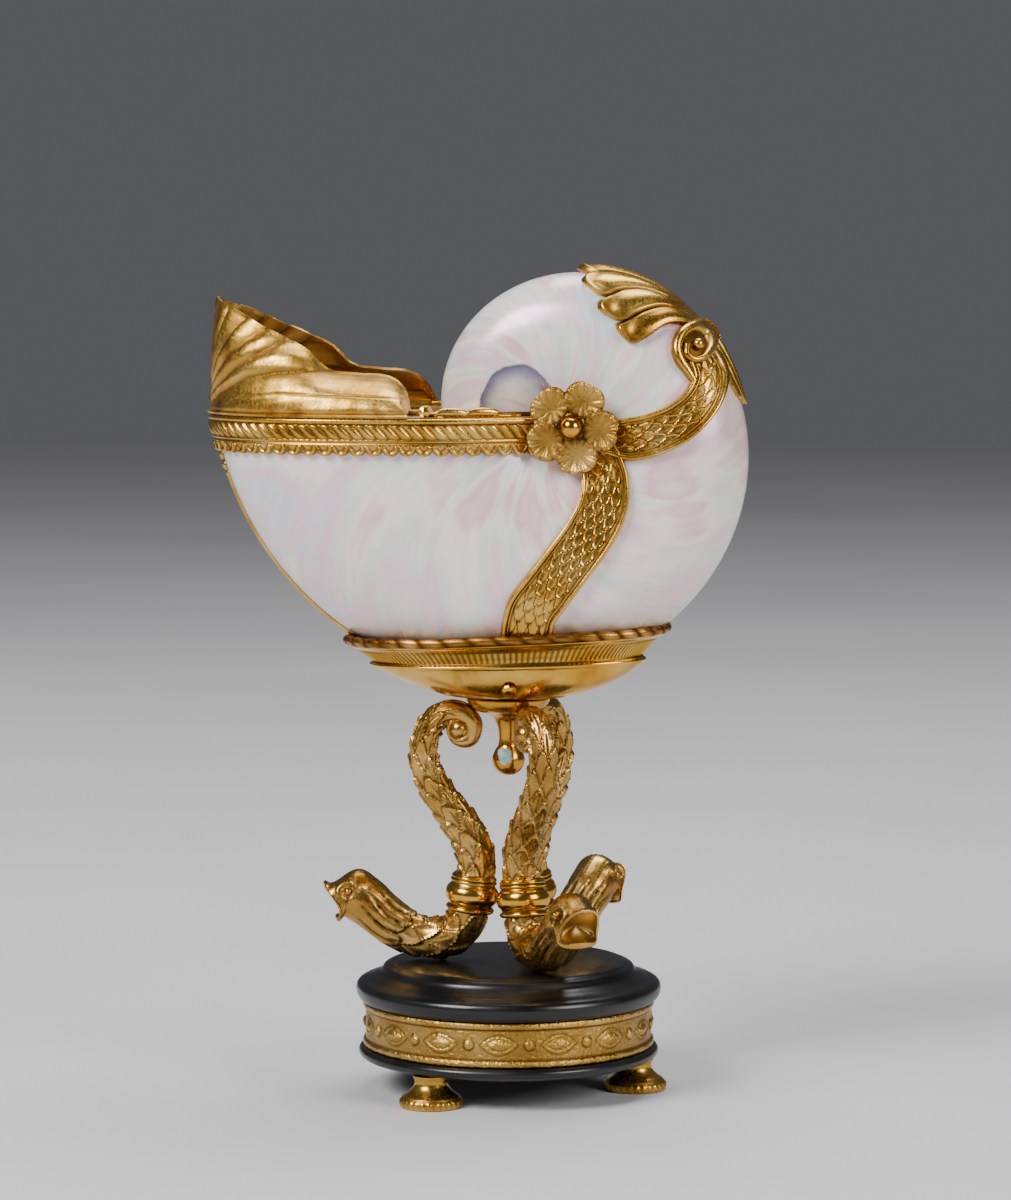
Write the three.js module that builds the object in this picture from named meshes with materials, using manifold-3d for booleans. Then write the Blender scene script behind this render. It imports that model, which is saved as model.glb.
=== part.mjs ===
// Nautilus shell cup in gilt mounts, on three dolphins and a round socle.
// Millimetres, +Z up, stem axis at X = 0 while modelling, prow towards -X, floor at Z = 0.
import * as THREE from 'three';
import { mergeVertices } from 'three/addons/utils/BufferGeometryUtils.js';
import Module from 'manifold-3d';

const wasm = await Module();
wasm.setup();

// Driving dimensions
const coilX = 14.1; // axis of the shell's coil
const coilZ = 215.9; // the mouth lies in this plane
const mouthRadius = 108.8; // coil axis to the keel at the mouth
const coilDecay = 0.1798; // radius falls by this power of e per radian
const flankBreadth = 0.36; // half breadth of a whorl over its radius
const flankPeak = 0.42; // where along the radius a whorl is broadest
const shellWall = 2.6;
const chamberEnd = 2.0; // last septum, radians down the spiral from the mouth
const mountGap = 0.5; // mounts stand this far off the shell
const mountSheet = 1.4; // thickness of the mounts' metal
const crestSheet = 2.6; // the crest's lobes stand this proud
const fitGap = 0.3;

const rimTop = 218;
const rimBottom = 206.2;
const rimGap = 0.8;
const rimSheet = 1.6;
const rimEndX = 10;

const lidBase = 218.5;
const lidSheet = 1.1;
const lidFlange = 1.2;
const hingeX = -22.3;
const hingeZ = 220.1;
const barrelRadius = 1.9;
const hingeBore = 1.25;
const hingePinRadius = 0.9;

const rosetteX = 23.3;
const rosetteY = 27.9;
const rosetteZ = 215.3;
const rosetteRadius = 14.5;
const petalCount = 5;

const dishTopZ = 147.4;
const dishTilt = 2.8 * Math.PI / 180; // the dish stands higher at the back
const dishBottomZ = 126.9;
const ropeRadius = 1.9;

const plateauZ = 41.2;
const dolphinCount = 3;
const bandTopZ = 28.9;
const bandBottomZ = 14.6;
const plinthBottomZ = 10.3;
const footPitchRadius = 41.2;

// Finishes
const gilt = () => new THREE.MeshStandardMaterial({ color: '#c9983a', roughness: 0.3, metalness: 1 });
const paleGilt = () => new THREE.MeshStandardMaterial({ color: '#b99a55', roughness: 0.5, metalness: 1 });
const nacre = () => new THREE.MeshStandardMaterial({ color: '#e6dedb', roughness: 0.25, metalness: 0 });
const blackWood = () => new THREE.MeshStandardMaterial({ color: '#1a1b1d', roughness: 0.35, metalness: 0 });

const cup = new THREE.Group();

function addPiece(name, geometry, material) {
  const piece = new THREE.Mesh(geometry, material);
  piece.name = name;
  cup.add(piece);
  return piece;
}

// Closed triangle meshes

function volumeOf(positions, index) {
  const a = new THREE.Vector3();
  const b = new THREE.Vector3();
  const c = new THREE.Vector3();
  let sum = 0;
  for (let i = 0; i < index.length; i += 3) {
    a.fromArray(positions, 3 * index[i]);
    b.fromArray(positions, 3 * index[i + 1]);
    c.fromArray(positions, 3 * index[i + 2]);
    sum += a.dot(b.cross(c));
  }
  return sum / 6;
}

// Turns a mesh the right way out, whichever way its points were listed.
function closedGeometry(points, index) {
  const positions = points.flatMap((point) => point.toArray());
  const turned = volumeOf(positions, index) < 0 ? [...index].reverse() : index;
  const geometry = new THREE.BufferGeometry();
  geometry.setAttribute('position', new THREE.Float32BufferAttribute(positions, 3));
  geometry.setIndex(turned);
  return geometry;
}

// Skins closed rings of equal length and caps both ends from their middles.
function loft(rings) {
  const count = rings[0].length;
  const points = rings.flat();
  const index = [];
  for (let i = 0; i + 1 < rings.length; i++) {
    for (let j = 0; j < count; j++) {
      const next = (j + 1) % count;
      const a = i * count + j;
      const b = i * count + next;
      index.push(a, b, b + count, a, b + count, a + count);
    }
  }
  const last = (rings.length - 1) * count;
  const startMiddle = points.length;
  points.push(middleOf(rings[0]));
  const endMiddle = points.length;
  points.push(middleOf(rings[rings.length - 1]));
  for (let j = 0; j < count; j++) {
    const next = (j + 1) % count;
    index.push(startMiddle, next, j);
    index.push(endMiddle, last + j, last + next);
  }
  return closedGeometry(points, index);
}

function middleOf(ring) {
  const sum = new THREE.Vector3();
  ring.forEach((point) => sum.add(point));
  return sum.divideScalar(ring.length);
}

// Closes the space between two grids of points, such as the two faces of a bent sheet.
function sheetSolid(under, over) {
  const rows = under.length;
  const columns = under[0].length;
  const points = [...under.flat(), ...over.flat()];
  const lower = (i, j) => i * columns + j;
  const upper = (i, j) => rows * columns + i * columns + j;
  const index = [];
  const quad = (a, b, c, d) => index.push(a, b, c, a, c, d);
  for (let i = 0; i + 1 < rows; i++) {
    for (let j = 0; j + 1 < columns; j++) {
      quad(lower(i, j), lower(i, j + 1), lower(i + 1, j + 1), lower(i + 1, j));
      quad(upper(i, j), upper(i + 1, j), upper(i + 1, j + 1), upper(i, j + 1));
    }
    quad(lower(i, 0), lower(i + 1, 0), upper(i + 1, 0), upper(i, 0));
    const end = columns - 1;
    quad(lower(i, end), upper(i, end), upper(i + 1, end), lower(i + 1, end));
  }
  for (let j = 0; j + 1 < columns; j++) {
    quad(lower(0, j), upper(0, j), upper(0, j + 1), lower(0, j + 1));
    const end = rows - 1;
    quad(lower(end, j), lower(end, j + 1), upper(end, j + 1), upper(end, j));
  }
  return closedGeometry(points, index);
}

// Joining and cutting

function toManifold(geometry) {
  const bare = geometry.clone();
  bare.deleteAttribute('normal');
  bare.deleteAttribute('uv');
  const merged = mergeVertices(bare, 1e-4);
  const vertProperties = new Float32Array(merged.attributes.position.array);
  const triVerts = new Uint32Array(merged.index.array);
  return new wasm.Manifold(new wasm.Mesh({ numProp: 3, vertProperties, triVerts }));
}

function toGeometry(solid) {
  const mesh = solid.getMesh();
  const geometry = new THREE.BufferGeometry();
  geometry.setAttribute('position', new THREE.BufferAttribute(new Float32Array(mesh.vertProperties), 3));
  geometry.setIndex(Array.from(mesh.triVerts));
  return geometry;
}

function join(...geometries) {
  return toGeometry(geometries.map(toManifold).reduce((sum, solid) => sum.add(solid)));
}

function cut(geometry, ...tools) {
  return toGeometry(tools.map(toManifold).reduce((rest, tool) => rest.subtract(tool), toManifold(geometry)));
}

function mirrored(geometry) {
  const copy = geometry.clone();
  copy.scale(1, -1, 1);
  const order = Array.from(copy.index ? copy.index.array : copy.attributes.position.array.keys());
  copy.setIndex(order.reverse());
  return copy;
}

function boxBetween(low, high) {
  const size = new THREE.Vector3().subVectors(high, low);
  const middle = new THREE.Vector3().addVectors(low, high).multiplyScalar(0.5);
  return new THREE.BoxGeometry(size.x, size.y, size.z).translate(middle.x, middle.y, middle.z);
}

// Turned about +Z from a profile of [radius, height] that starts and ends on the axis.
function turned(profile, sides) {
  const outline = profile.map(([radius, height]) => new THREE.Vector2(radius, height));
  return new THREE.LatheGeometry(outline, sides).rotateX(Math.PI / 2);
}

// The whorl's surface
// phi is 0 at the mouth on the prow side and grows down, back and over the top of the coil.
// A section lies in the half plane at phi: [radius from the coil axis, half breadth].

function whorlRadius(phi) {
  return mouthRadius * Math.exp(-coilDecay * phi);
}

function whorlPoint(phi, radius, breadth) {
  return new THREE.Vector3(coilX - radius * Math.cos(phi), breadth, coilZ - radius * Math.sin(phi));
}

// Half breadth over radius, at a share of the radius out from the coil axis.
function flankAt(reach) {
  if (reach < flankPeak) {
    const inward = 1 - reach / flankPeak;
    return flankBreadth * (1 - 0.44 * inward * inward);
  }
  const outward = Math.min((reach - flankPeak) / (1 - flankPeak), 1);
  return flankBreadth * Math.sqrt(1 - Math.pow(outward, 2.6));
}

// share runs from 0 at the keel to 1 at the coil axis.
function flankPoint(share) {
  const keelShare = 0.7;
  if (share < keelShare) {
    const angle = (1 - share / keelShare) * Math.PI / 2;
    const reach = Math.pow(Math.sin(angle), 2 / 2.6);
    return [flankPeak + (1 - flankPeak) * reach, flankBreadth * Math.cos(angle)];
  }
  const reach = flankPeak * (1 - share) / (1 - keelShare);
  return [reach, flankAt(reach)];
}

function flankNormal(share) {
  const step = 0.002;
  const before = flankPoint(Math.max(share - step, 0));
  const after = flankPoint(Math.min(share + step, 1));
  const alongRadius = after[0] - before[0];
  const alongBreadth = after[1] - before[1];
  const length = Math.hypot(alongRadius, alongBreadth);
  return share < step ? [1, 0] : [alongBreadth / length, -alongRadius / length];
}

function whorlRing(phi, lift, steps, innerRadius) {
  const radius = whorlRadius(phi);
  const side = [];
  for (let k = 0; k <= steps; k++) {
    const share = k / steps;
    const [along, breadth] = flankPoint(share);
    const [outward, sideways] = flankNormal(share);
    const out = Math.max(along * radius + outward * lift, innerRadius);
    side.push([out, breadth * radius + sideways * lift]);
  }
  const near = side.slice(1).reverse().map(([out, breadth]) => whorlPoint(phi, out, -breadth));
  const far = side.map(([out, breadth]) => whorlPoint(phi, out, breadth));
  return [...near, ...far];
}

function whorlSolid(from, to, lift, phiSteps, flankSteps, innerRadius) {
  const rings = [];
  for (let i = 0; i <= phiSteps; i++) {
    rings.push(whorlRing(from + (to - from) * i / phiSteps, lift, flankSteps, innerRadius));
  }
  return loft(rings);
}

// Nearest place on the whorl to a point, in the point's own half plane, lifted off the surface.
function onShell(point, lift) {
  const side = point.y < 0 ? -1 : 1;
  let phi = Math.atan2(coilZ - point.z, coilX - point.x);
  if (phi < -0.5) phi += 2 * Math.PI;
  const radius = whorlRadius(phi);
  const out = Math.hypot(point.x - coilX, point.z - coilZ);
  let best = 0;
  let bestDistance = Infinity;
  const samples = 400;
  for (let k = 0; k <= samples; k++) {
    const [along, breadth] = flankPoint(k / samples);
    const distance = Math.hypot(along * radius - out, breadth * radius - Math.abs(point.y));
    if (distance < bestDistance) {
      best = k / samples;
      bestDistance = distance;
    }
  }
  const [along, breadth] = flankPoint(best);
  const [outward, sideways] = flankNormal(best);
  const place = (height) => whorlPoint(phi, along * radius + outward * height, side * (breadth * radius + sideways * height));
  const foot = place(0);
  const normal = place(1).sub(foot).normalize();
  return { point: place(lift), foot, normal };
}

// Shell

function shellGeometry() {
  const fullTurn = 2 * Math.PI;
  const axisGap = 0.8;
  const body = whorlSolid(0, Math.PI, 0, 19, 9, axisGap);
  const coil = whorlSolid(Math.PI, fullTurn + 0.05, 0, 15, 8, axisGap);
  const plug = new THREE.CylinderGeometry(1.6, 1.6, 14, 8).translate(coilX, 0, coilZ);
  const umbilicus = 6;
  const hollow = whorlSolid(-0.15, chamberEnd, -shellWall, 10, 6, umbilicus);
  const innerWhorl = whorlSolid(fullTurn - 0.25, fullTurn + chamberEnd + 0.1, 0, 9, 5, 0.4);
  const chamber = cut(hollow, innerWhorl);
  return cut(join(body, coil, plug), chamber);
}

addPiece('nautilus_shell', shellGeometry(), nacre());

// Half breadth of the shell below the mouth, at a place along it and a height.
function halfBreadthAt(x, z) {
  const radius = whorlRadius(Math.atan2(coilZ - z, coilX - x));
  return radius * flankAt(Math.hypot(x - coilX, z - coilZ) / radius);
}

function keelX(z) {
  let phi = 0;
  for (let pass = 0; pass < 6; pass++) {
    phi = Math.asin((coilZ - z) / whorlRadius(phi));
  }
  return coilX - whorlRadius(phi) * Math.cos(phi);
}

// Place on the lip's outline in plan: way is 0 at the prow and 1 at endX; lift stands it off the shell.
function lipPoint(way, z, endX, lift) {
  const level = Math.min(z, coilZ);
  const prowX = keelX(level);
  const spot = (part) => {
    const x = prowX + (endX - prowX) * part * part;
    return new THREE.Vector2(x, part === 0 ? 0 : halfBreadthAt(x, level));
  };
  const here = spot(way);
  const step = 0.004;
  const along = spot(way + step).sub(spot(Math.max(way - step, 0)));
  const outward = way === 0 ? new THREE.Vector2(-1, 0) : new THREE.Vector2(-along.y, along.x).normalize();
  return new THREE.Vector3(here.x + outward.x * lift, here.y + outward.y * lift, z);
}

// The whole outline, from the rear near side round the prow to the rear far side.
function lipPoints(z, endX, steps, lift) {
  const side = [];
  for (let k = 0; k <= steps; k++) {
    side.push(lipPoint(k / steps, z, endX, lift));
  }
  const near = side.slice(1).map((point) => point.clone().setY(-point.y)).reverse();
  return [...near, ...side];
}

// Rim band

function rimBandGeometry() {
  const steps = 14;
  const levels = [rimBottom, 211.5, rimTop];
  const face = (lift) => {
    const lines = levels.map((z) => lipPoints(z, rimEndX, steps, lift));
    return lines[0].map((_, i) => lines.map((line) => line[i]));
  };
  return sheetSolid(face(rimGap), face(rimGap + rimSheet));
}

addPiece('rim_band', rimBandGeometry(), gilt());

// Straps over the flanks
// Each row of a route is [x, z, rough half breadth there, half width of the strap].

function strapGeometry(route, steps, across) {
  const middle = new THREE.CatmullRomCurve3(
    route.map(([x, z, breadth]) => onShell(new THREE.Vector3(x, -breadth, z), 0).foot));
  const under = [];
  const over = [];
  for (let i = 0; i <= steps; i++) {
    const along = i / steps;
    const here = onShell(middle.getPoint(along), 0);
    const sideways = middle.getTangent(along).cross(here.normal).normalize();
    const place = along * (route.length - 1);
    const before = Math.min(Math.floor(place), route.length - 2);
    const halfWidth = THREE.MathUtils.lerp(route[before][3], route[before + 1][3], place - before);
    const row = [];
    const top = [];
    for (let j = 0; j <= across; j++) {
      const offset = halfWidth * (2 * j / across - 1);
      const spot = here.foot.clone().addScaledVector(sideways, offset);
      row.push(onShell(spot, mountGap).point);
      top.push(onShell(spot, mountGap + mountSheet).point);
    }
    under.push(row);
    over.push(top);
  }
  return sheetSolid(under, over);
}

const upperRoute = [
  [36.5, 211.6, 22, 6.1], [41, 211.2, 22, 6.8], [48, 212.6, 22, 6.8], [56.5, 216.6, 20, 6.4],
  [62.6, 223, 16, 5.8], [64.8, 230, 12, 5.2], [63.6, 236, 10, 4.4]];
const lowerRoute = [
  [31, 202.4, 24, 6.6], [33.2, 197, 26, 7.6], [32.7, 189.9, 27, 7.9], [28.6, 181.7, 28, 8],
  [22, 172.5, 28, 8], [14.8, 163.2, 28, 8], [10.6, 157.6, 26, 8.1], [9, 153.8, 25, 8.1]];

function voluteGeometry() {
  const radius = 6.4;
  const height = 2.6;
  const seat = onShell(new THREE.Vector3(58.2, -14, 239.2), mountGap + fitGap);
  const disc = turned([[0, 0], [radius, 0], [radius, height * 0.6], [radius * 0.6, height], [0, height]], 14);
  disc.applyQuaternion(new THREE.Quaternion().setFromUnitVectors(new THREE.Vector3(0, 0, 1), seat.normal));
  return disc.translate(seat.point.x, seat.point.y, seat.point.z);
}

const upperStrap = join(strapGeometry(upperRoute, 10, 4), voluteGeometry());
const lowerStrap = strapGeometry(lowerRoute, 10, 4);
addPiece('upper_strap_near', upperStrap, gilt());
addPiece('upper_strap_far', mirrored(upperStrap), gilt());
addPiece('lower_strap_near', lowerStrap, gilt());
addPiece('lower_strap_far', mirrored(lowerStrap), gilt());

// Crest over the keel
// Each row is [phi past the level line, half width along the surface].

const crestOutline = [
  [0.09, 0.5], [0.2, 3], [0.34, 4], [0.5, 3.6], [0.6, 5.6], [0.68, 10.5], [0.76, 17],
  [0.84, 22.5], [0.98, 22.5], [1.12, 20], [1.24, 16], [1.34, 11], [1.41, 4]];

function crestGeometry() {
  const across = 8;
  const face = (lift) => crestOutline.map(([turn, halfWidth]) => {
    const phi = Math.PI + turn;
    const row = [];
    for (let j = 0; j <= across; j++) {
      row.push(besideKeel(phi, halfWidth * (2 * j / across - 1), lift));
    }
    return row;
  });
  return sheetSolid(face(mountGap), face(mountGap + crestSheet));
}

// Point at a distance from the keel, measured over the surface.
function besideKeel(phi, distance, lift) {
  const radius = whorlRadius(phi);
  const side = Math.sign(distance) || 1;
  let walked = 0;
  let share = 0;
  let last = flankPoint(0);
  while (walked < Math.abs(distance) && share < 1) {
    share += 0.002;
    const here = flankPoint(share);
    walked += radius * Math.hypot(here[0] - last[0], here[1] - last[1]);
    last = here;
  }
  const [outward, sideways] = flankNormal(share);
  return whorlPoint(phi, last[0] * radius + outward * lift, side * (last[1] * radius + sideways * lift));
}

addPiece('crest', crestGeometry(), gilt());

// Keel strap from the rim band to the dish

function keelStrapGeometry() {
  const halfWidth = 1.6;
  const from = 0.1;
  const to = 0.8;
  const steps = 9;
  const face = (lift) => {
    const rows = [];
    for (let i = 0; i <= steps; i++) {
      const phi = from + (to - from) * i / steps;
      rows.push([-halfWidth, 0, halfWidth].map((distance) => besideKeel(phi, distance, lift)));
    }
    return rows;
  };
  return sheetSolid(face(mountGap), face(mountGap + mountSheet));
}

addPiece('keel_strap', keelStrapGeometry(), gilt());

// Rosettes and their pins

function rosetteGeometry() {
  const pinHole = 1.8;
  const petalRadius = 5.9;
  const petals = [];
  for (let k = 0; k < petalCount; k++) {
    const angle = (65 + 72 * k) * Math.PI / 180;
    const reach = rosetteRadius - petalRadius;
    const petal = turned([[0, 0], [petalRadius, 0.6], [petalRadius, 1.6], [0, 2.1]], 8);
    petals.push(petal.translate(reach * Math.cos(angle), reach * Math.sin(angle), 0));
  }
  const heart = turned([[0, 0.2], [5.4, 0.2], [5, 2], [0, 2]], 10);
  const hole = new THREE.CylinderGeometry(pinHole, pinHole, 10, 8).rotateX(Math.PI / 2);
  const flower = cut(join(heart, ...petals), hole);
  return flower.rotateX(Math.PI / 2).translate(rosetteX, -rosetteY, rosetteZ);
}

function rosettePinGeometry() {
  const shaft = 1.4;
  const ball = 3.3;
  const headZ = 2.4;
  const tail = -8.6;
  const profile = [[0, tail], [shaft, tail], [shaft, headZ], [ball * 0.8, headZ + 0.2]];
  for (let k = 0; k <= 4; k++) {
    const angle = -0.3 + (Math.PI / 2 + 0.3) * k / 4;
    profile.push([ball * Math.cos(angle), headZ + 1.4 + ball * 0.9 * Math.sin(angle)]);
  }
  profile[profile.length - 1][0] = 0;
  return turned(profile, 8).rotateX(Math.PI / 2).translate(rosetteX, -rosetteY, rosetteZ);
}

const rosette = rosetteGeometry();
const rosettePin = rosettePinGeometry();
addPiece('rosette_near', rosette, paleGilt());
addPiece('rosette_far', mirrored(rosette), paleGilt());
addPiece('rosette_pin_near', rosettePin, gilt());
addPiece('rosette_pin_far', mirrored(rosettePin), gilt());

// Lid: a half scallop whose open edge faces the coil
// Each row is [way from the prow to the hinge, and x, half breadth and z of the open edge there].

const lidEndX = -27.5;
const lidStations = [
  [0, -94.1, 0, 255.1], [0.15, -90.5, 7, 253], [0.3, -84.6, 14, 251], [0.45, -76.8, 20, 246.8],
  [0.6, -68.6, 24, 243.2], [0.7, -61, 26, 239.2], [0.78, -54, 26.4, 233.4], [0.87, -44.6, 25.4, 232],
  [0.94, -35.4, 24.6, 231.2], [0.98, -30.2, 26, 227.4], [1, -27.6, 31.6, 220.6]];

function lidPoint(station, height, lift) {
  const base = lipPoint(station.way, lidBase, lidEndX, rimGap + rimSheet / 2);
  const rise = 1.3 * height - 0.3 * height * height;
  const lean = height * height;
  const x = THREE.MathUtils.lerp(base.x, station.edge.x, lean);
  const y = THREE.MathUtils.lerp(base.y, station.edge.y, lean);
  const z = lidBase + (station.edge.z - lidBase) * rise;
  const inward = new THREE.Vector3(-55 - x, -y, (lidBase - 8 - z) * 0.5).normalize();
  return new THREE.Vector3(x, y, z).addScaledVector(inward, lift);
}

function lidHoodGeometry() {
  const edge = new THREE.CatmullRomCurve3(lidStations.map(([, x, y, z]) => new THREE.Vector3(x, y, z)));
  const perStation = 1.5;
  const heights = [0, 0.35, 0.7, 1];
  const side = [];
  const last = lidStations.length - 1;
  for (let k = 0; k <= last * perStation; k++) {
    const place = k / perStation;
    const before = Math.min(Math.floor(place), last - 1);
    const way = THREE.MathUtils.lerp(lidStations[before][0], lidStations[before + 1][0], place - before);
    side.push({ way, edge: edge.getPoint(place / last) });
  }
  side[0].edge.y = 0;
  const column = (station, lift) => {
    const wall = heights.map((height) => lidPoint(station, height, lift));
    const outward = wall[0].clone().sub(new THREE.Vector3(-40, 0, wall[0].z)).setZ(0).normalize();
    const foot = wall[0].clone().addScaledVector(outward, lidFlange);
    foot.z = lidBase + (lift > 0 ? 0 : 0.8);
    wall[0].z = foot.z;
    return [foot, ...wall];
  };
  const grid = (lift) => {
    const far = side.map((station) => column(station, lift));
    const near = far.slice(1).reverse().map((line) => line.map((point) => point.clone().setY(-point.y)));
    return [...near, ...far];
  };
  return sheetSolid(grid(lidSheet), grid(0));
}

function barrel(nearY, farY) {
  const length = Math.abs(farY - nearY);
  const middle = (nearY + farY) / 2;
  return new THREE.CylinderGeometry(barrelRadius, barrelRadius, length, 10).translate(hingeX, middle, hingeZ);
}

function hingeBoreTool() {
  return new THREE.CylinderGeometry(hingeBore, hingeBore, 90, 8).translate(hingeX, 0, hingeZ);
}

const lidBarrel = [31.2, 34.2];
const plateBarrel = [34.6, 37.4];

function lidGeometry() {
  const pieces = [lidHoodGeometry()];
  for (const side of [-1, 1]) {
    pieces.push(barrel(side * lidBarrel[0], side * lidBarrel[1]));
    const [low, high] = side < 0 ? [-lidBarrel[1], -lidBarrel[0]] : lidBarrel;
    pieces.push(boxBetween(new THREE.Vector3(-29.4, low, 219.4), new THREE.Vector3(hingeX - 1, high, 220.7)));
  }
  return cut(join(...pieces), hingeBoreTool());
}

addPiece('lid', lidGeometry(), gilt());

function hingePinGeometry() {
  const inner = lidBarrel[0] - 0.9;
  const outer = plateBarrel[1] + 0.6;
  const head = 1.6;
  const profile = [[0, inner - 0.9], [head, inner - 0.6], [head, inner], [hingePinRadius, inner + 0.3],
    [hingePinRadius, outer], [head, outer + 0.3], [head, outer + 0.9], [0, outer + 1.5]];
  return turned(profile, 8).rotateX(Math.PI / 2).translate(hingeX, 0, hingeZ);
}

const hingePin = hingePinGeometry();
addPiece('hinge_pin_near', hingePin, gilt());
addPiece('hinge_pin_far', mirrored(hingePin), gilt());

// Fixed plate behind the lid, slotted round the coil

function mouthPlateGeometry() {
  const plateLow = 218.3;
  const plateHigh = 219.2;
  const frontX = -29;
  const bridgeY = 29.5;
  const backX = 7;
  const hingeSideX = -19.4;
  const slotHalf = 14.2;
  const slotFront = -22.6;
  const outer = [];
  for (let k = 0; k <= 6; k++) {
    const x = hingeSideX + (backX - hingeSideX) * k / 6;
    outer.push(new THREE.Vector2(x, halfBreadthAt(x, coilZ) - 0.4));
  }
  const farSide = [
    new THREE.Vector2(frontX, bridgeY), new THREE.Vector2(hingeSideX, bridgeY), ...outer,
    new THREE.Vector2(backX, slotHalf)];
  for (let k = 0; k <= 5; k++) {
    const angle = Math.PI / 2 * k / 6;
    farSide.push(new THREE.Vector2(-8 - (-8 - slotFront) * Math.sin(angle), slotHalf * Math.cos(angle)));
  }
  const nearSide = farSide.map((point) => new THREE.Vector2(point.x, -point.y)).reverse();
  const outline = new THREE.Shape([...farSide, new THREE.Vector2(slotFront, 0), ...nearSide]);
  const plate = new THREE.ExtrudeGeometry(outline, { depth: plateHigh - plateLow, bevelEnabled: false });
  plate.translate(0, 0, plateLow);
  const pieces = [plate];
  for (const side of [-1, 1]) {
    pieces.push(fringeGeometry(side, hingeSideX, backX, plateLow + 0.1));
    pieces.push(barrel(side * plateBarrel[0], side * plateBarrel[1]));
    const [low, high] = side < 0 ? [-plateBarrel[1] + 1, -plateBarrel[0]] : [plateBarrel[0], plateBarrel[1] - 1];
    pieces.push(boxBetween(new THREE.Vector3(hingeX + 1, low, 218.4), new THREE.Vector3(-18.6, high, 219.6)));
  }
  return cut(join(...pieces), hingeBoreTool());
}

function fringeGeometry(side, fromX, toX, low) {
  const steps = 5;
  const height = 2.7;
  const face = (lift) => {
    const rows = [];
    for (let i = 0; i <= steps; i++) {
      const x = fromX + (toX - fromX) * i / steps;
      const y = side * (halfBreadthAt(x, coilZ) + lift);
      rows.push([new THREE.Vector3(x, y, low), new THREE.Vector3(x, y, low + height)]);
    }
    return rows;
  };
  return sheetSolid(face(-1.6), face(-0.5));
}

addPiece('mouth_plate', mouthPlateGeometry(), gilt());

// Dish, its rope ring and screw
// Each level is [height, half length, half width]; the rim levels lean with the dish.

const dishLevels = [
  [dishBottomZ, 14, 11.5], [127.6, 20, 14.6], [129.4, 27.5, 17.2], [133, 36.2, 20], [137.6, 43.6, 22.4],
  [138.8, 44.6, 23], [140, 44, 22.6], [143.4, 47.2, 24.4], [dishTopZ - 2.2, 50.8, 26.8]];

function ovalRing(height, halfLength, halfWidth, sides) {
  const lean = THREE.MathUtils.smoothstep(height, 130, 146);
  const ring = [];
  for (let k = 0; k < sides; k++) {
    const angle = 2 * Math.PI * k / sides;
    const x = halfLength * Math.cos(angle) - 0.6 * lean;
    ring.push(new THREE.Vector3(x, halfWidth * Math.sin(angle), height + x * Math.tan(dishTilt) * lean));
  }
  return ring;
}

function dishGeometry() {
  const bowl = loft(dishLevels.map(([height, length, width]) => ovalRing(height, length, width, 24)));
  const seat = whorlSolid(0.5, Math.PI - 0.4, 0.9, 18, 8, 20);
  return cut(bowl, seat);
}

addPiece('dish', dishGeometry(), gilt());

function dishRopeGeometry() {
  const steps = 32;
  const sides = 6;
  const height = dishTopZ;
  const rings = [];
  for (let i = 0; i < steps; i++) {
    const angle = 2 * Math.PI * i / steps;
    const x = 51.3 * Math.cos(angle) - 0.6;
    const middle = new THREE.Vector3(x, 27.4 * Math.sin(angle), height + x * Math.tan(dishTilt));
    const outward = new THREE.Vector3(Math.cos(angle) * 27.4, Math.sin(angle) * 51.3, 0).normalize();
    const ring = [];
    for (let j = 0; j < sides; j++) {
      const turn = 2 * Math.PI * j / sides;
      const spot = middle.clone().addScaledVector(outward, ropeRadius * Math.cos(turn));
      spot.z += ropeRadius * 0.9 * Math.sin(turn);
      ring.push(spot);
    }
    rings.push(ring);
  }
  return closedLoop(rings);
}

// Skins rings that run round and meet the first ring again.
function closedLoop(rings) {
  const count = rings[0].length;
  const points = rings.flat();
  const index = [];
  for (let i = 0; i < rings.length; i++) {
    const following = (i + 1) % rings.length;
    for (let j = 0; j < count; j++) {
      const next = (j + 1) % count;
      const a = i * count + j;
      const b = i * count + next;
      const c = following * count + next;
      const d = following * count + j;
      index.push(a, b, c, a, c, d);
    }
  }
  return closedGeometry(points, index);
}

addPiece('dish_rope', cut(dishRopeGeometry(), whorlSolid(0.4, Math.PI - 0.3, mountGap, 20, 9, 20)), gilt());

function dishScrewGeometry() {
  const head = 2.4;
  const slot = new THREE.BoxGeometry(6, 0.8, 1).translate(0, 0, 1.5);
  const screw = cut(turned([[0, 0], [head, 0], [head, 0.8], [1.4, 1.4], [0, 1.5]], 10), slot);
  const outward = new THREE.Vector3(0.02, -0.66, -0.75).normalize();
  screw.applyQuaternion(new THREE.Quaternion().setFromUnitVectors(new THREE.Vector3(0, 0, 1), outward));
  return screw.translate(2.4, -19.4, 131.2);
}

addPiece('dish_screw', dishScrewGeometry(), gilt());

// Stem: socket, cone, shaft and ball

const stemProfile = [
  [0, 101.4], [2.6, 102.1], [4.7, 104], [5.3, 106.6], [4.6, 109.4], [3.2, 111.4], [3.1, 113.4],
  [3.5, 117], [4.6, 119.8], [6.2, 121.4], [10, 122.4], [12.8, 124.6], [13.6, dishBottomZ - fitGap], [0, dishBottomZ - fitGap]];
addPiece('stem', turned(stemProfile, 14), gilt());

// Dolphins
// Each row is [distance out from the stem axis, height, half thickness].

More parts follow.
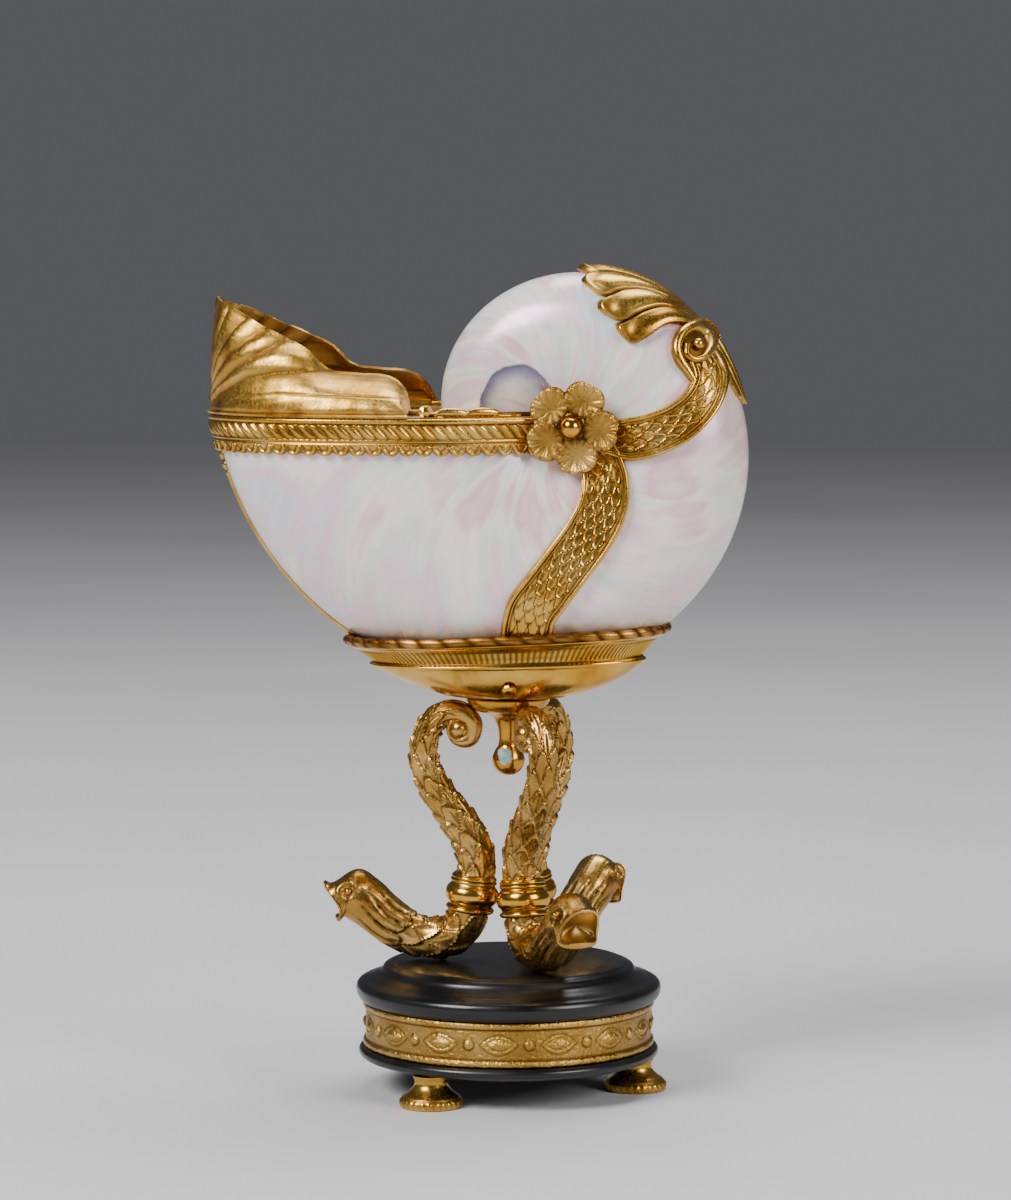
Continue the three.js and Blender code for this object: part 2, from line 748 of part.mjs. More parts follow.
const tailRoute = [
  [10.3, 71, 6], [10.9, 76, 6.1], [13, 81.4, 6], [16.6, 87, 5.7], [21, 92.9, 5.3], [25.1, 99.4, 5],
  [27.4, 106, 4.6], [27.3, 112.4, 4.3], [24.8, 118, 4.1], [20.6, 121.4, 3.9], [16.2, 121.8, 3.7],
  [12.6, 119.9, 3.3], [11.2, 116.4, 2.9], [12.4, 113.2, 2.6], [15.2, 112.4, 2.3]];
const bodyRoute = [
  [13.2, 56.2, 6.2], [14.4, 52.6, 6.4], [17.6, 49.6, 6.7], [22.6, 48.2, 6.7], [29, 48.4, 6.7],
  [35.6, 51.2, 6.6], [41.4, 55.4, 6.8], [46.2, 59.6, 7.4], [50.6, 62.6, 7], [54.4, 64.2, 5], [58.2, 65, 3.2],
  [61, 65.6, 1.4]];
const jawRoute = [
  [45.4, 57, 4.6], [48.6, 55.6, 3.8], [51.4, 54.2, 2.8], [54.2, 53, 1.4]];

// Sweeps an oval section along a route in the XZ plane; broad widens it sideways.
function bodySweep(route, sides, broad) {
  const middle = new THREE.CatmullRomCurve3(route.map(([out, height]) => new THREE.Vector3(out, 0, height)));
  const sideways = new THREE.Vector3(0, 1, 0);
  const rings = route.map(([, , half], i) => {
    const along = i / (route.length - 1);
    const centre = middle.getPoint(along);
    const up = middle.getTangent(along).cross(sideways).normalize();
    const ring = [];
    for (let k = 0; k < sides; k++) {
      const angle = 2 * Math.PI * k / sides;
      const spot = centre.clone().addScaledVector(up, half * Math.cos(angle));
      ring.push(spot.addScaledVector(sideways, half * broad(along) * Math.sin(angle)));
    }
    return ring;
  });
  return loft(rings);
}

function tailGeometry() {
  const boss = new THREE.SphereGeometry(3.1, 8, 5).translate(15.6, 0, 116.2);
  return join(bodySweep(tailRoute, 8, () => 1), boss);
}

function bodyGeometry() {
  const upper = bodySweep(bodyRoute, 8, (along) => 1 + 0.25 * THREE.MathUtils.smoothstep(along, 0.6, 1));
  const jaw = bodySweep(jawRoute, 6, () => 1.2);
  return join(upper, jaw);
}

function collarGeometry() {
  const half = 6.1;
  const profile = [
    [0, -half], [7.6, -half], [7.8, -half + 1.8], [7, -half + 2.3], [8.3, -0.8], [8.3, 0.8],
    [7, half - 2.6], [7.9, half - 1.9], [7.6, half], [0, half]];
  return turned(profile, 12).rotateY(THREE.MathUtils.degToRad(-11)).translate(11.8, 0, 63.2);
}

const tail = tailGeometry();
const collar = collarGeometry();
const body = bodyGeometry();
for (let k = 0; k < dolphinCount; k++) {
  const heading = Math.PI + 2 * Math.PI * k / dolphinCount;
  addPiece(`dolphin_tail_${k + 1}`, tail, gilt()).rotation.z = heading;
  addPiece(`dolphin_collar_${k + 1}`, collar, gilt()).rotation.z = heading;
  addPiece(`dolphin_body_${k + 1}`, body, gilt()).rotation.z = heading;
}

// Socle

const drumRadius = 44.6;
const socleTopProfile = [
  [0, bandBottomZ + fitGap], [drumRadius, bandBottomZ + fitGap], [drumRadius, bandTopZ + fitGap],
  [47.6, bandTopZ + fitGap], [49, 31.4], [49.2, 33.6], [48.2, 35.4], [45, 36.2], [41.6, 38], [40.2, 39.8],
  [38.3, plateauZ - 0.6], [37.6, plateauZ], [0, plateauZ]];
addPiece('socle_top', turned(socleTopProfile, 28), blackWood());

const bandProfile = [
  [drumRadius + fitGap, bandBottomZ], [47.1, bandBottomZ], [47.1, 16.4], [46.3, 16.8],
  [46.3, 26.8], [47.1, 27.2], [47.1, bandTopZ], [drumRadius + fitGap, bandTopZ]];
bandProfile.push(bandProfile[0]);
addPiece('socle_band', turned(bandProfile, 28), gilt());

const plinthTopZ = bandBottomZ - fitGap;
const plinthProfile = [
  [0, plinthBottomZ], [45.8, plinthBottomZ], [47.8, 11.2], [48.4, 12.6], [47.8, plinthTopZ - 0.4],
  [47, plinthTopZ], [0, plinthTopZ]];
addPiece('socle_plinth', turned(plinthProfile, 28), blackWood());

// Feet

const footTopZ = plinthBottomZ - fitGap;
const footProfile = [
  [0, 0], [9.6, 0], [10, 0.9], [10.2, 2.6], [9.4, 3.7], [7.8, 4.4], [5.6, 6.4], [5.2, 8],
  [6, footTopZ], [0, footTopZ]];
for (let k = 0; k < dolphinCount; k++) {
  const angle = 2 * Math.PI * k / dolphinCount;
  const foot = addPiece(`foot_${k + 1}`, turned(footProfile, 12), gilt());
  foot.position.set(footPitchRadius * Math.cos(angle), footPitchRadius * Math.sin(angle), 0);
}

// The origin is under the middle of the whole cup.
const extent = new THREE.Box3().setFromObject(cup, true);
cup.position.x = -(extent.min.x + extent.max.x) / 2;

export default cup;
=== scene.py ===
import math

import bpy
import numpy as np
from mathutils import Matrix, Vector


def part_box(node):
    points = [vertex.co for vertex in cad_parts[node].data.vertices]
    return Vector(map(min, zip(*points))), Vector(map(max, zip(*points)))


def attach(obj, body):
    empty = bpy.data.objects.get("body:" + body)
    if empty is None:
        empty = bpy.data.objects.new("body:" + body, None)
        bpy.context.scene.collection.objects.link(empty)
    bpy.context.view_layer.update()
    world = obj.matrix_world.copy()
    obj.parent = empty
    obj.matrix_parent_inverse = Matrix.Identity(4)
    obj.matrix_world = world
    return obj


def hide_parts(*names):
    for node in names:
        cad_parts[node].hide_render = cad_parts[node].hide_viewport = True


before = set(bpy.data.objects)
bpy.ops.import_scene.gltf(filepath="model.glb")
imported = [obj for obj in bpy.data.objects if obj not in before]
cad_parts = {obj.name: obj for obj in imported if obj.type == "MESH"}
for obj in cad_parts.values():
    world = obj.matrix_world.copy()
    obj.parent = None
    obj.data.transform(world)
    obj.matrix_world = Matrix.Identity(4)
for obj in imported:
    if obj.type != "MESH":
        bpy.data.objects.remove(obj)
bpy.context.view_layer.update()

stemLow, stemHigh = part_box("stem")
stemX = 500 * (stemLow.x + stemHigh.x)  # mm; every piece is worked out from the stem's axis


def atCup(points):  # mm from the stem's axis to the frame's metres
    return (np.asarray(points, float) + (stemX, 0, 0)) / 1000


def deselectAll():
    if bpy.context.object and bpy.context.object.mode != "OBJECT":
        bpy.ops.object.mode_set(mode="OBJECT")
    bpy.ops.object.select_all(action="DESELECT")


def pick(piece):
    deselectAll()
    piece.select_set(True)
    bpy.context.view_layer.objects.active = piece


# Materials

def linear(code):  # sRGB hex to linear colour
    parts = [int(code[k:k + 2], 16) / 255 for k in (1, 3, 5)]
    return [c / 12.92 if c <= 0.04045 else ((c + 0.055) / 1.055) ** 2.4 for c in parts] + [1]


def addNode(tree, kind, settings=None, links=None):
    node = tree.nodes.new(kind)
    for key, value in (settings or {}).items():
        if key == "stops":
            while len(node.color_ramp.elements) < len(value):
                node.color_ramp.elements.new(0.5)
            for element, (place, colour) in zip(node.color_ramp.elements, value):
                element.position = place
                element.color = linear(colour) if isinstance(colour, str) else [colour] * 3 + [1]
        elif isinstance(key, int) or key in node.inputs:
            isColour = isinstance(value, str) and value.startswith("#")
            node.inputs[key].default_value = linear(value) if isColour else value
        else:
            setattr(node, key, value)
    for key, source in (links or {}).items():
        tree.links.new(source, node.inputs[key])
    return node


def newMaterial(name):
    material = bpy.data.materials.new(name)
    material.use_nodes = True
    material.node_tree.nodes.clear()
    return material, material.node_tree


def finishMaterial(tree, settings, links):
    shader = addNode(tree, "ShaderNodeBsdfPrincipled", settings, links)
    addNode(tree, "ShaderNodeOutputMaterial", None, {"Surface": shader.outputs[0]})


def perMetre(pitch):  # noise scale whose features are about this many mm across
    return 1000 / pitch


def giltMetal(name, look):
    material, tree = newMaterial(name)
    place = addNode(tree, "ShaderNodeTexCoord").outputs["Object"]
    patches = addNode(tree, "ShaderNodeTexNoise", {"Scale": perMetre(look["patchMm"]), "Detail": 4.0},
                      {"Vector": place})
    grain = addNode(tree, "ShaderNodeTexNoise", {"Scale": perMetre(look["grainMm"]), "Detail": 3.0},
                    {"Vector": place})
    tone = addNode(tree, "ShaderNodeValToRGB",
                   {"stops": [(0.3, look["deep"]), (0.5, look["mid"]), (0.72, look["bright"])]},
                   {"Fac": patches.outputs["Fac"]})
    # Painted shade: the depth mark on each piece mixes a dark brown into its recesses, its grooves and the
    # edges under overlapping work, and makes them rougher there.
    depth = addNode(tree, "ShaderNodeAttribute", {"attribute_name": "depth"})
    grime = addNode(tree, "ShaderNodeMath", {"operation": "MULTIPLY", 1: look["grime"], "use_clamp": True},
                    {0: depth.outputs["Fac"]})
    shadedTone = addNode(tree, "ShaderNodeMix", {"data_type": "RGBA", 7: look["recess"]},
                    {0: grime.outputs[0], 6: tone.outputs["Color"]})
    stainNoise = addNode(tree, "ShaderNodeTexNoise", {"Scale": perMetre(look["stainMm"]), "Detail": 6.0},
                         {"Vector": place})
    stain = addNode(tree, "ShaderNodeValToRGB",
                    {"stops": [(look["stainFrom"], 0.0), (look["stainFrom"] + 0.12, look["stain"])]},
                    {"Fac": stainNoise.outputs["Fac"]})
    coloured = addNode(tree, "ShaderNodeMix", {"data_type": "RGBA", 7: look["stainColour"]},
                       {0: stain.outputs["Color"], 6: shadedTone.outputs[2]})
    smoothest, roughest = look["rough"]
    rough = addNode(tree, "ShaderNodeMapRange",
                    {"From Min": 0.3, "From Max": 0.7, "To Min": smoothest, "To Max": roughest},
                    {"Value": grain.outputs["Fac"]})
    rougher = addNode(tree, "ShaderNodeMath", {"operation": "MULTIPLY_ADD", 1: look["grimeRough"],
                                               "use_clamp": True},
                      {0: grime.outputs[0], 2: rough.outputs["Result"]})
    bump = addNode(tree, "ShaderNodeBump", {"Strength": look["bump"], "Distance": look["bumpMm"] / 1000},
                   {"Height": grain.outputs["Fac"]})
    finishMaterial(tree, {"Metallic": 1.0},
                   {"Base Color": coloured.outputs[2], "Roughness": rougher.outputs[0],
                    "Normal": bump.outputs["Normal"]})
    return material


# Grain sizes are coarser than real polishing marks, so that they show.
baseLook = dict(patchMm=14, grainMm=0.8, stainMm=9, deep="#B47F2B", mid="#D2A248", bright="#E6BE6A",
                recess="#5A3711", grime=0.9, grimeRough=0.25, stain=0.35, stainFrom=0.6,
                stainColour="#7A4A1C", rough=(0.2, 0.34), bump=0.25, bumpMm=0.15)

# Stamped brass sheet, fire gilt: bright on the raised work, with a dark brown painted shade in the recesses.
stampedGilt = giltMetal("stampedGiltBrass", baseLook)
# Hammered sheet with a satin face: a soft sparkle, with red-brown tarnish in clouds.
hoodGilt = giltMetal("satinGiltSheet", dict(baseLook, grainMm=0.9, rough=(0.26, 0.46), bump=0.5, stainMm=11,
                                           stain=0.6, stainFrom=0.56, stainColour="#6E3A1A"))
# Cast and chased brass: duller skin, with dark painted shade lines round every scale.
castGilt = giltMetal("chasedCastGilt", dict(baseLook, deep="#9C7030", mid="#BE9248", bright="#D6B066",
                                            recess="#3F270D", rough=(0.22, 0.36), bump=0.2, grainMm=0.9,
                                            grime=1.1, stain=0.2))
# Turned and burnished: long soft highlights, next to no grain.
burnishedGilt = giltMetal("burnishedGilt", dict(baseLook, rough=(0.14, 0.24), bump=0.08, stain=0.5,
                                                deep="#B57E22", mid="#D9A43C", bright="#E8BC62"))
# Scratch-brushed pale gilding: matt petals that spread the light.
brushedGilt = giltMetal("scratchBrushedGilt", dict(baseLook, deep="#A4772E", mid="#C79A48", bright="#DDB566",
                                                   rough=(0.24, 0.44), bump=0.7, grainMm=0.5, stain=0.5,
                                                   stainFrom=0.56))
# The rope's dull skin: the gilding has worn to red-brown bronze.
ropeGilt = giltMetal("wornGiltRope", dict(baseLook, deep="#7C5222", mid="#A67536", bright="#C99A55",
                                          grime=1.1, rough=(0.24, 0.4), stain=0.6, stainFrom=0.52))
# Punched ground of the socle's band: a fine pebbled field under bright bosses.
punchedGilt = giltMetal("punchedGiltBand", dict(baseLook, deep="#A67C33", mid="#C29A4C", bright="#D8B468",
                                                grainMm=1.2, bump=0.9, bumpMm=0.7, rough=(0.24, 0.4)))


# Nautilus shell, polished down to its nacre: pale layers with a thin film's colours along growth lines.
def polishedNacre():
    material, tree = newMaterial("polishedNacre")
    place = addNode(tree, "ShaderNodeTexCoord").outputs["Object"]
    growth = addNode(tree, "ShaderNodeAttribute", {"attribute_name": "growth"})
    reach = addNode(tree, "ShaderNodeAttribute", {"attribute_name": "reach"})
    lines = addNode(tree, "ShaderNodeCombineXYZ", None,
                    {"X": growth.outputs["Fac"], "Y": reach.outputs["Fac"]})
    stretched = addNode(tree, "ShaderNodeMapping", {"Scale": (12.0, 0.7, 1.0)}, {"Vector": lines.outputs[0]})
    fine = addNode(tree, "ShaderNodeTexNoise", {"Scale": 1.5, "Detail": 5.0, "Roughness": 0.6},
                   {"Vector": stretched.outputs[0]})
    broad = addNode(tree, "ShaderNodeTexNoise", {"Scale": 0.32, "Detail": 3.0, "Distortion": 0.4},
                    {"Vector": stretched.outputs[0]})
    clouds = addNode(tree, "ShaderNodeTexNoise", {"Scale": perMetre(46), "Detail": 3.0}, {"Vector": place})
    mixed = addNode(tree, "ShaderNodeMath", {"operation": "MULTIPLY_ADD", 1: 0.55},
                    {0: broad.outputs["Fac"], 2: clouds.outputs["Fac"]})
    # Painted sheen: the nacre's play of colour laid into the base colour as pink, green and blue bands over
    # its pale tint.
    sheen = addNode(tree, "ShaderNodeValToRGB",
                    {"stops": [(0.6, "#F0E0D6"), (0.68, "#E9C2C4"), (0.745, "#F7EFE4"), (0.8, "#DCE8DC"),
                               (0.86, "#EECFD4"), (0.95, "#D0DDE6")]},
                    {"Fac": mixed.outputs[0]})
    streaks = addNode(tree, "ShaderNodeValToRGB", {"stops": [(0.34, "#CFC3C0"), (0.6, "#FFFFFF")]},
                      {"Fac": fine.outputs["Fac"]})
    body = addNode(tree, "ShaderNodeMix", {"data_type": "RGBA", "blend_type": "MULTIPLY", 0: 0.2},
                   {6: sheen.outputs["Color"], 7: streaks.outputs["Color"]})
    scar = addNode(tree, "ShaderNodeAttribute", {"attribute_name": "scar"})
    ragged = addNode(tree, "ShaderNodeTexNoise", {"Scale": perMetre(5), "Detail": 4.0}, {"Vector": place})
    scarEdge = addNode(tree, "ShaderNodeMath", {"operation": "MULTIPLY_ADD", 1: 0.1},
                       {0: ragged.outputs["Fac"], 2: scar.outputs["Fac"]})
    scarMask = addNode(tree, "ShaderNodeValToRGB",
                       {"stops": [(0.3, 0.1), (0.52, 0.3), (0.68, 0.8), (0.78, 1.0), (0.815, 0.0)]},
                       {"Fac": scarEdge.outputs[0]})
    marked = addNode(tree, "ShaderNodeMix", {"data_type": "RGBA", 7: "#35476B"},
                     {0: scarMask.outputs["Color"], 6: body.outputs[2]})
    soil = addNode(tree, "ShaderNodeAttribute", {"attribute_name": "soil"})
    soilEdge = addNode(tree, "ShaderNodeMath", {"operation": "MULTIPLY", "use_clamp": True},
                       {0: soil.outputs["Fac"], 1: ragged.outputs["Fac"]})
    soiled = addNode(tree, "ShaderNodeMix", {"data_type": "RGBA", 7: "#A98A63"},
                     {0: soilEdge.outputs[0], 6: marked.outputs[2]})
    rough = addNode(tree, "ShaderNodeMapRange", {"From Min": 0.3, "From Max": 0.75, "To Min": 0.2,
                                                 "To Max": 0.36}, {"Value": fine.outputs["Fac"]})
    bump = addNode(tree, "ShaderNodeBump", {"Strength": 0.1, "Distance": 0.0004},
                   {"Height": fine.outputs["Fac"]})
    finishMaterial(tree, {"IOR": 1.62, "Coat Weight": 0.35, "Coat Roughness": 0.16, "Specular IOR Level": 0.6,
                          "Thin Film Thickness": 430.0, "Thin Film IOR": 1.9},
                   {"Base Color": soiled.outputs[2], "Roughness": rough.outputs["Result"],
                    "Normal": bump.outputs["Normal"]})
    return material


nacre = polishedNacre()


# Turned hardwood, stained black and polished: near black, with turning rings and a soft worn sheen.
def ebonisedWood():
    material, tree = newMaterial("ebonisedTurnedWood")
    place = addNode(tree, "ShaderNodeTexCoord").outputs["Object"]
    squeezed = addNode(tree, "ShaderNodeMapping", {"Scale": (40.0, 40.0, 900.0)}, {"Vector": place})
    rings = addNode(tree, "ShaderNodeTexNoise", {"Scale": 1.0, "Detail": 4.0},
                    {"Vector": squeezed.outputs[0]})
    wear = addNode(tree, "ShaderNodeTexNoise", {"Scale": perMetre(17), "Detail": 6.0}, {"Vector": place})
    tone = addNode(tree, "ShaderNodeValToRGB", {"stops": [(0.4, "#060607"), (0.7, "#151312")]},
                   {"Fac": wear.outputs["Fac"]})
    rough = addNode(tree, "ShaderNodeMapRange", {"From Min": 0.3, "From Max": 0.7, "To Min": 0.22,
                                                 "To Max": 0.42}, {"Value": wear.outputs["Fac"]})
    bump = addNode(tree, "ShaderNodeBump", {"Strength": 0.15, "Distance": 0.0003},
                   {"Height": rings.outputs["Fac"]})
    finishMaterial(tree, {"IOR": 1.48, "Coat Weight": 0.12, "Coat Roughness": 0.25},
                   {"Base Color": tone.outputs["Color"], "Roughness": rough.outputs["Result"],
                    "Normal": bump.outputs["Normal"]})
    return material


blackWood = ebonisedWood()
print("materials made")


# Mesh helpers

def settle(piece):  # puts a primitive's place, turn and size into its mesh
    pick(piece)
    bpy.ops.object.transform_apply(location=True, rotation=True, scale=True)
    return piece


def addMark(piece, key, values):  # a number on each vertex, for the materials
    mark = piece.data.attributes.new(key, "FLOAT", "POINT")
    mark.data.foreach_set("value", np.asarray(values, np.float32).ravel())


def placesOf(piece):  # the vertices, in mm from the stem's axis
    places = np.empty(len(piece.data.vertices) * 3, np.float32)
    piece.data.vertices.foreach_get("co", places)
    return places.reshape(-1, 3).astype(float) * 1000 - (stemX, 0, 0)


def roundEdges(piece, width):
    edge = piece.modifiers.new("edge", "BEVEL")
    edge.width = width / 1000
    edge.segments = 2
    bpy.ops.object.modifier_apply(modifier=edge.name)
    return piece


def fit(piece, body, material, nodes=(), angle=38):
    settle(piece)
    bpy.ops.object.shade_smooth_by_angle(angle=math.radians(angle))
    piece.data.materials.clear()
    piece.data.materials.append(material)
    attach(piece, body)
    if nodes:
        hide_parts(*nodes)
    return piece


def tidyMesh(piece, recalculate=True):
    pick(piece)
    bpy.ops.object.mode_set(mode="EDIT")
    bpy.ops.mesh.select_all(action="SELECT")
    bpy.ops.mesh.remove_doubles(threshold=4e-6)
    if recalculate:
        bpy.ops.mesh.normals_make_consistent(inside=False)
    bpy.ops.object.mode_set(mode="OBJECT")


def gridPiece(name, points, marks=None, closeEnds=False, recalculate=True):
    # A flat grid whose vertices are set on rows and columns of points, with its seams merged.
    points = np.asarray(points, float)
    marks = {key: np.broadcast_to(value, points.shape[:2]) for key, value in (marks or {}).items()}
    if closeEnds:
        ends = [points[0].mean(axis=0), points[-1].mean(axis=0)]
        first, last = [np.broadcast_to(end, points.shape[1:])[None] for end in ends]
        points = np.concatenate([first, points, last])
        marks = {key: np.concatenate([value[:1], value, value[-1:]]) for key, value in marks.items()}
    rows, columns = points.shape[:2]
    deselectAll()
    bpy.ops.mesh.primitive_grid_add(x_subdivisions=columns - 1, y_subdivisions=rows - 1, size=2)
    piece = bpy.context.object
    piece.name = name
    piece.data.name = name
    piece.data.vertices.foreach_set("co", atCup(points.reshape(-1, 3)).astype(np.float32).ravel())
    for key, value in marks.items():
        addMark(piece, key, value)
    piece.data.update()
    tidyMesh(piece, recalculate)
    return piece


def wrappedPiece(name, outer, under, depth):  # a worked face with a plain back, joined round its edges
    ring = np.concatenate([outer, under, outer[:, :1]], axis=1)
    plain = np.zeros((len(outer), under.shape[1] + 1))
    marks = np.concatenate([np.broadcast_to(depth, outer.shape[:2]), plain], axis=1)
    return gridPiece(name, ring, {"depth": np.clip(marks, 0, 1)}, closeEnds=True)


def roundPoints(outline, steps):  # an outline of radius and height carried round an upright axis
    r, h = np.array(outline, float).T[..., None]
    turn = np.linspace(0, 2 * math.pi, steps + 1)
    return np.stack([r * np.cos(turn), r * np.sin(turn), h + 0 * turn], axis=-1), h + 0 * turn


def turnedPiece(name, outline, steps, centre=(0, 0)):
    # An outline drawn point by point, then spun round an upright axis.
    start = atCup([[centre[0] + outline[0][0], centre[1], outline[0][1]]])[0]
    deselectAll()
    bpy.ops.mesh.primitive_plane_add(size=0.001, location=start)
    piece = bpy.context.object
    piece.name = name
    piece.data.name = name
    bpy.ops.object.mode_set(mode="EDIT")
    bpy.ops.mesh.select_all(action="SELECT")
    bpy.ops.mesh.merge(type="CENTER")
    for (r0, z0), (r1, z1) in zip(outline[:-1], outline[1:]):
        move = ((r1 - r0) / 1000, 0, (z1 - z0) / 1000)
        bpy.ops.mesh.extrude_vertices_move(TRANSFORM_OT_translate={"value": move})
    bpy.ops.mesh.select_all(action="SELECT")
    middle = atCup([[centre[0], centre[1], 0]])[0]
    bpy.ops.mesh.spin(steps=steps, angle=2 * math.pi, center=middle, axis=(0, 0, 1))
    bpy.ops.object.mode_set(mode="OBJECT")
    tidyMesh(piece)
    bpy.ops.object.transform_apply(location=True, rotation=True, scale=True)
    return piece


def joinPieces(pieces, name):
    pick(pieces[0])
    for piece in pieces[1:]:
        piece.select_set(True)
    bpy.ops.object.join()
    pieces[0].name = name
    return pieces[0]


def copyPiece(piece, name):
    copy = piece.copy()
    copy.data = piece.data.copy()
    copy.name = name
    bpy.context.scene.collection.objects.link(copy)
    return copy


def mirroredCopy(piece, name):
    copy = copyPiece(piece, name)
    pick(copy)
    bpy.ops.object.mode_set(mode="EDIT")
    bpy.ops.mesh.select_all(action="SELECT")
    bpy.ops.transform.resize(value=(1, -1, 1), center_override=(0, 0, 0))
    bpy.ops.mesh.flip_normals()
    bpy.ops.object.mode_set(mode="OBJECT")
    return copy


def smoothAlong(knots, t):  # a smooth line through the knots; t runs from 0 to the last knot
    knots = np.asarray(knots, float)
    last = len(knots) - 1
    t = np.clip(np.asarray(t, float), 0, last - 1e-9)
    k = t.astype(int)
    f = (t - k)[..., None]
    before = np.where((k == 0)[..., None], 2 * knots[0] - knots[1], knots[np.maximum(k - 1, 0)])
    here, after = knots[k], knots[k + 1]
    beyond = np.where((k + 2 > last)[..., None], 2 * knots[last] - knots[last - 1],
                      knots[np.minimum(k + 2, last)])
    return 0.5 * (2 * here + (after - before) * f + (2 * before - 5 * here + 4 * after - beyond) * f ** 2
                  + (3 * here - before - 3 * after + beyond) * f ** 3)


def lengthAlong(line):  # the length so far at each point of a line
    return np.concatenate([[0], np.cumsum(np.linalg.norm(np.diff(line, axis=0), axis=1))])


def unit(ways):
    return ways / np.linalg.norm(ways, axis=-1)[..., None]


def evenAlong(knots, count):  # the same line at even steps of length, with each step's length so far
    fineT = np.linspace(0, len(knots) - 1, 1200)
    fine = smoothAlong(knots, fineT)
    flat = lengthAlong(fine[:, :2])
    length = np.linspace(0, flat[-1], count)
    t = np.interp(length, flat, fineT)
    return smoothAlong(knots, t), length


def smoothStep(x, low, high):
    t = np.clip((np.asarray(x, float) - low) / (high - low), 0, 1)
    return t * t * (3 - 2 * t)


def arch(x):  # a half-round hump from -1 to 1
    return np.sqrt(np.clip(1 - x ** 2, 0, 1))


def bell(x, middle, width):  # a soft hump
    return np.exp(-((x - middle) / width) ** 2)


def waver(x, y, z, size):  # slow unevenness from -1 to 1 with features about size mm across
    k = 2 * math.pi / size
    return (np.sin(k * (x + 0.4 * y) + 1.3) + np.sin(k * (0.7 * y - z) * 1.3 + 0.4)
            + np.sin(k * (z + 0.3 * x) * 0.8 + 2.1)) / 3


def scales(along, across, pitch, keen, edge=0.5):
    # Overlapping leaf scales whose tips point up along; gives height 0 to 1, and depth 0 to 1 as painted
    # shade under each scale's edge and in the seams.
    row = np.floor(along / pitch)

    def leaf(back):
        here = row - back
        shift = np.where(np.mod(here, 2) > 0.5, 0.5, 0.0)
        q = 2 * (across - shift - np.round(across - shift))
        run = along / pitch - here
        outside = (run - 2 + np.abs(q) ** keen) * pitch / edge
        high = 0.15 + 0.8 * (run / 2) ** 1.4 + 0.1 * (1 - np.abs(q)) ** 2 \
            + 0.26 * bell(outside, -1.3, 0.8)
        return outside, high, np.abs(q)
    outside, high, _ = leaf(1)
    _, low, qLow = leaf(0)
    over = 1 - smoothStep(outside, -0.5, 0.5)
    shade = np.exp(-np.clip(outside, 0, None) * 0.6) * (1 - over)
    seam = np.clip((qLow - 0.86) / 0.14, 0, 1) ** 2 * (1 - over) * 0.7
    height = high * over + low * (1 - over) - 0.15 * seam
    return height, np.clip(shade + seam, 0, 1)


# The shell's spiral, in mm from the stem's axis

whorl = dict(axisX=14.1, axisZ=215.9, mouthRadius=108.8, decay=0.1798, breadth=0.36, peak=0.42,
             roundness=2.6, hollow=0.44, wall=2.6, chamberEnd=2.0)


def whorlRadius(phi):
    return whorl["mouthRadius"] * np.exp(-whorl["decay"] * phi)


def flankAt(reach):
    peak = whorl["peak"]
    low = 1 - whorl["hollow"] * (1 - np.minimum(reach, peak) / peak) ** 2
    out = np.clip((reach - peak) / (1 - peak), 0, 1)
    high = np.sqrt(np.clip(1 - out ** whorl["roundness"], 0, 1))
    return whorl["breadth"] * np.where(reach < peak, low, high)


def sectionAt(share):  # reach and half breadth over radius, from the keel at 0 to the axis at 1
    peak = whorl["peak"]
    turn = (1 - share / 0.7) * math.pi / 2
    rise = np.clip(np.sin(np.clip(turn, 0, math.pi / 2)), 0, 1)
    outer = peak + (1 - peak) * rise ** (2 / whorl["roundness"])
    inner = peak * (1 - share) / 0.3
    outerY = whorl["breadth"] * np.cos(turn)
    return np.where(share < 0.7, outer, inner), np.where(share < 0.7, outerY, flankAt(inner))


sectionShares = np.linspace(0, 1, 3001)
sectionReach, sectionY = sectionAt(sectionShares)
sectionLength = np.concatenate([[0], np.cumsum(np.hypot(np.diff(sectionReach), np.diff(sectionY)))])
sectionOutR = np.gradient(sectionY, sectionLength)
sectionOutY = -np.gradient(sectionReach, sectionLength)


def besideKeel(phi, distance, lift):  # a place measured over the surface from the keel
    radius = whorlRadius(phi)
    length = np.abs(distance) / radius
    reach, y, outR, outY = [np.interp(length, sectionLength, values)
                            for values in (sectionReach, sectionY, sectionOutR, sectionOutY)]
    r = radius * reach + lift * outR
    side = np.where(distance < 0, -1, 1)
    return np.stack([whorl["axisX"] - r * np.cos(phi), side * (radius * y + lift * outY),
                     whorl["axisZ"] - r * np.sin(phi)], axis=-1)


def polarOf(x, z):
    dx, dz = x - whorl["axisX"], z - whorl["axisZ"]
    phi = np.arctan2(-dz, -dx)
    return np.where(phi < -0.05, phi + 2 * math.pi, phi), np.hypot(dx, dz)


def onFlank(x, z, lift):  # a place on the near flank seen at x and z, stood off by lift
    def breadth(x, z):
        phi, rho = polarOf(x, z)
        radius = whorlRadius(phi)
        return radius * flankAt(np.minimum(rho / radius, 0.995))
    step = 0.05
    y = breadth(x, z)
    slopeX = (breadth(x + step, z) - breadth(x - step, z)) / (2 * step)
    slopeZ = (breadth(x, z + step) - breadth(x, z - step)) / (2 * step)
    length = np.sqrt(slopeX ** 2 + slopeZ ** 2 + 1)
    return np.stack([x - lift * slopeX / length, -(y + lift / length), z - lift * slopeZ / length], axis=-1)


# Shell: one whorl and more, cut hollow as far as the last wall between its chambers

# The scar stands on the rim beside the rosette: its middle's x and z, then its half width and half height
shellLook = dict(turnSteps=222, acrossSteps=92, scar=(4.6, 219.2, 12.9, 15.6))


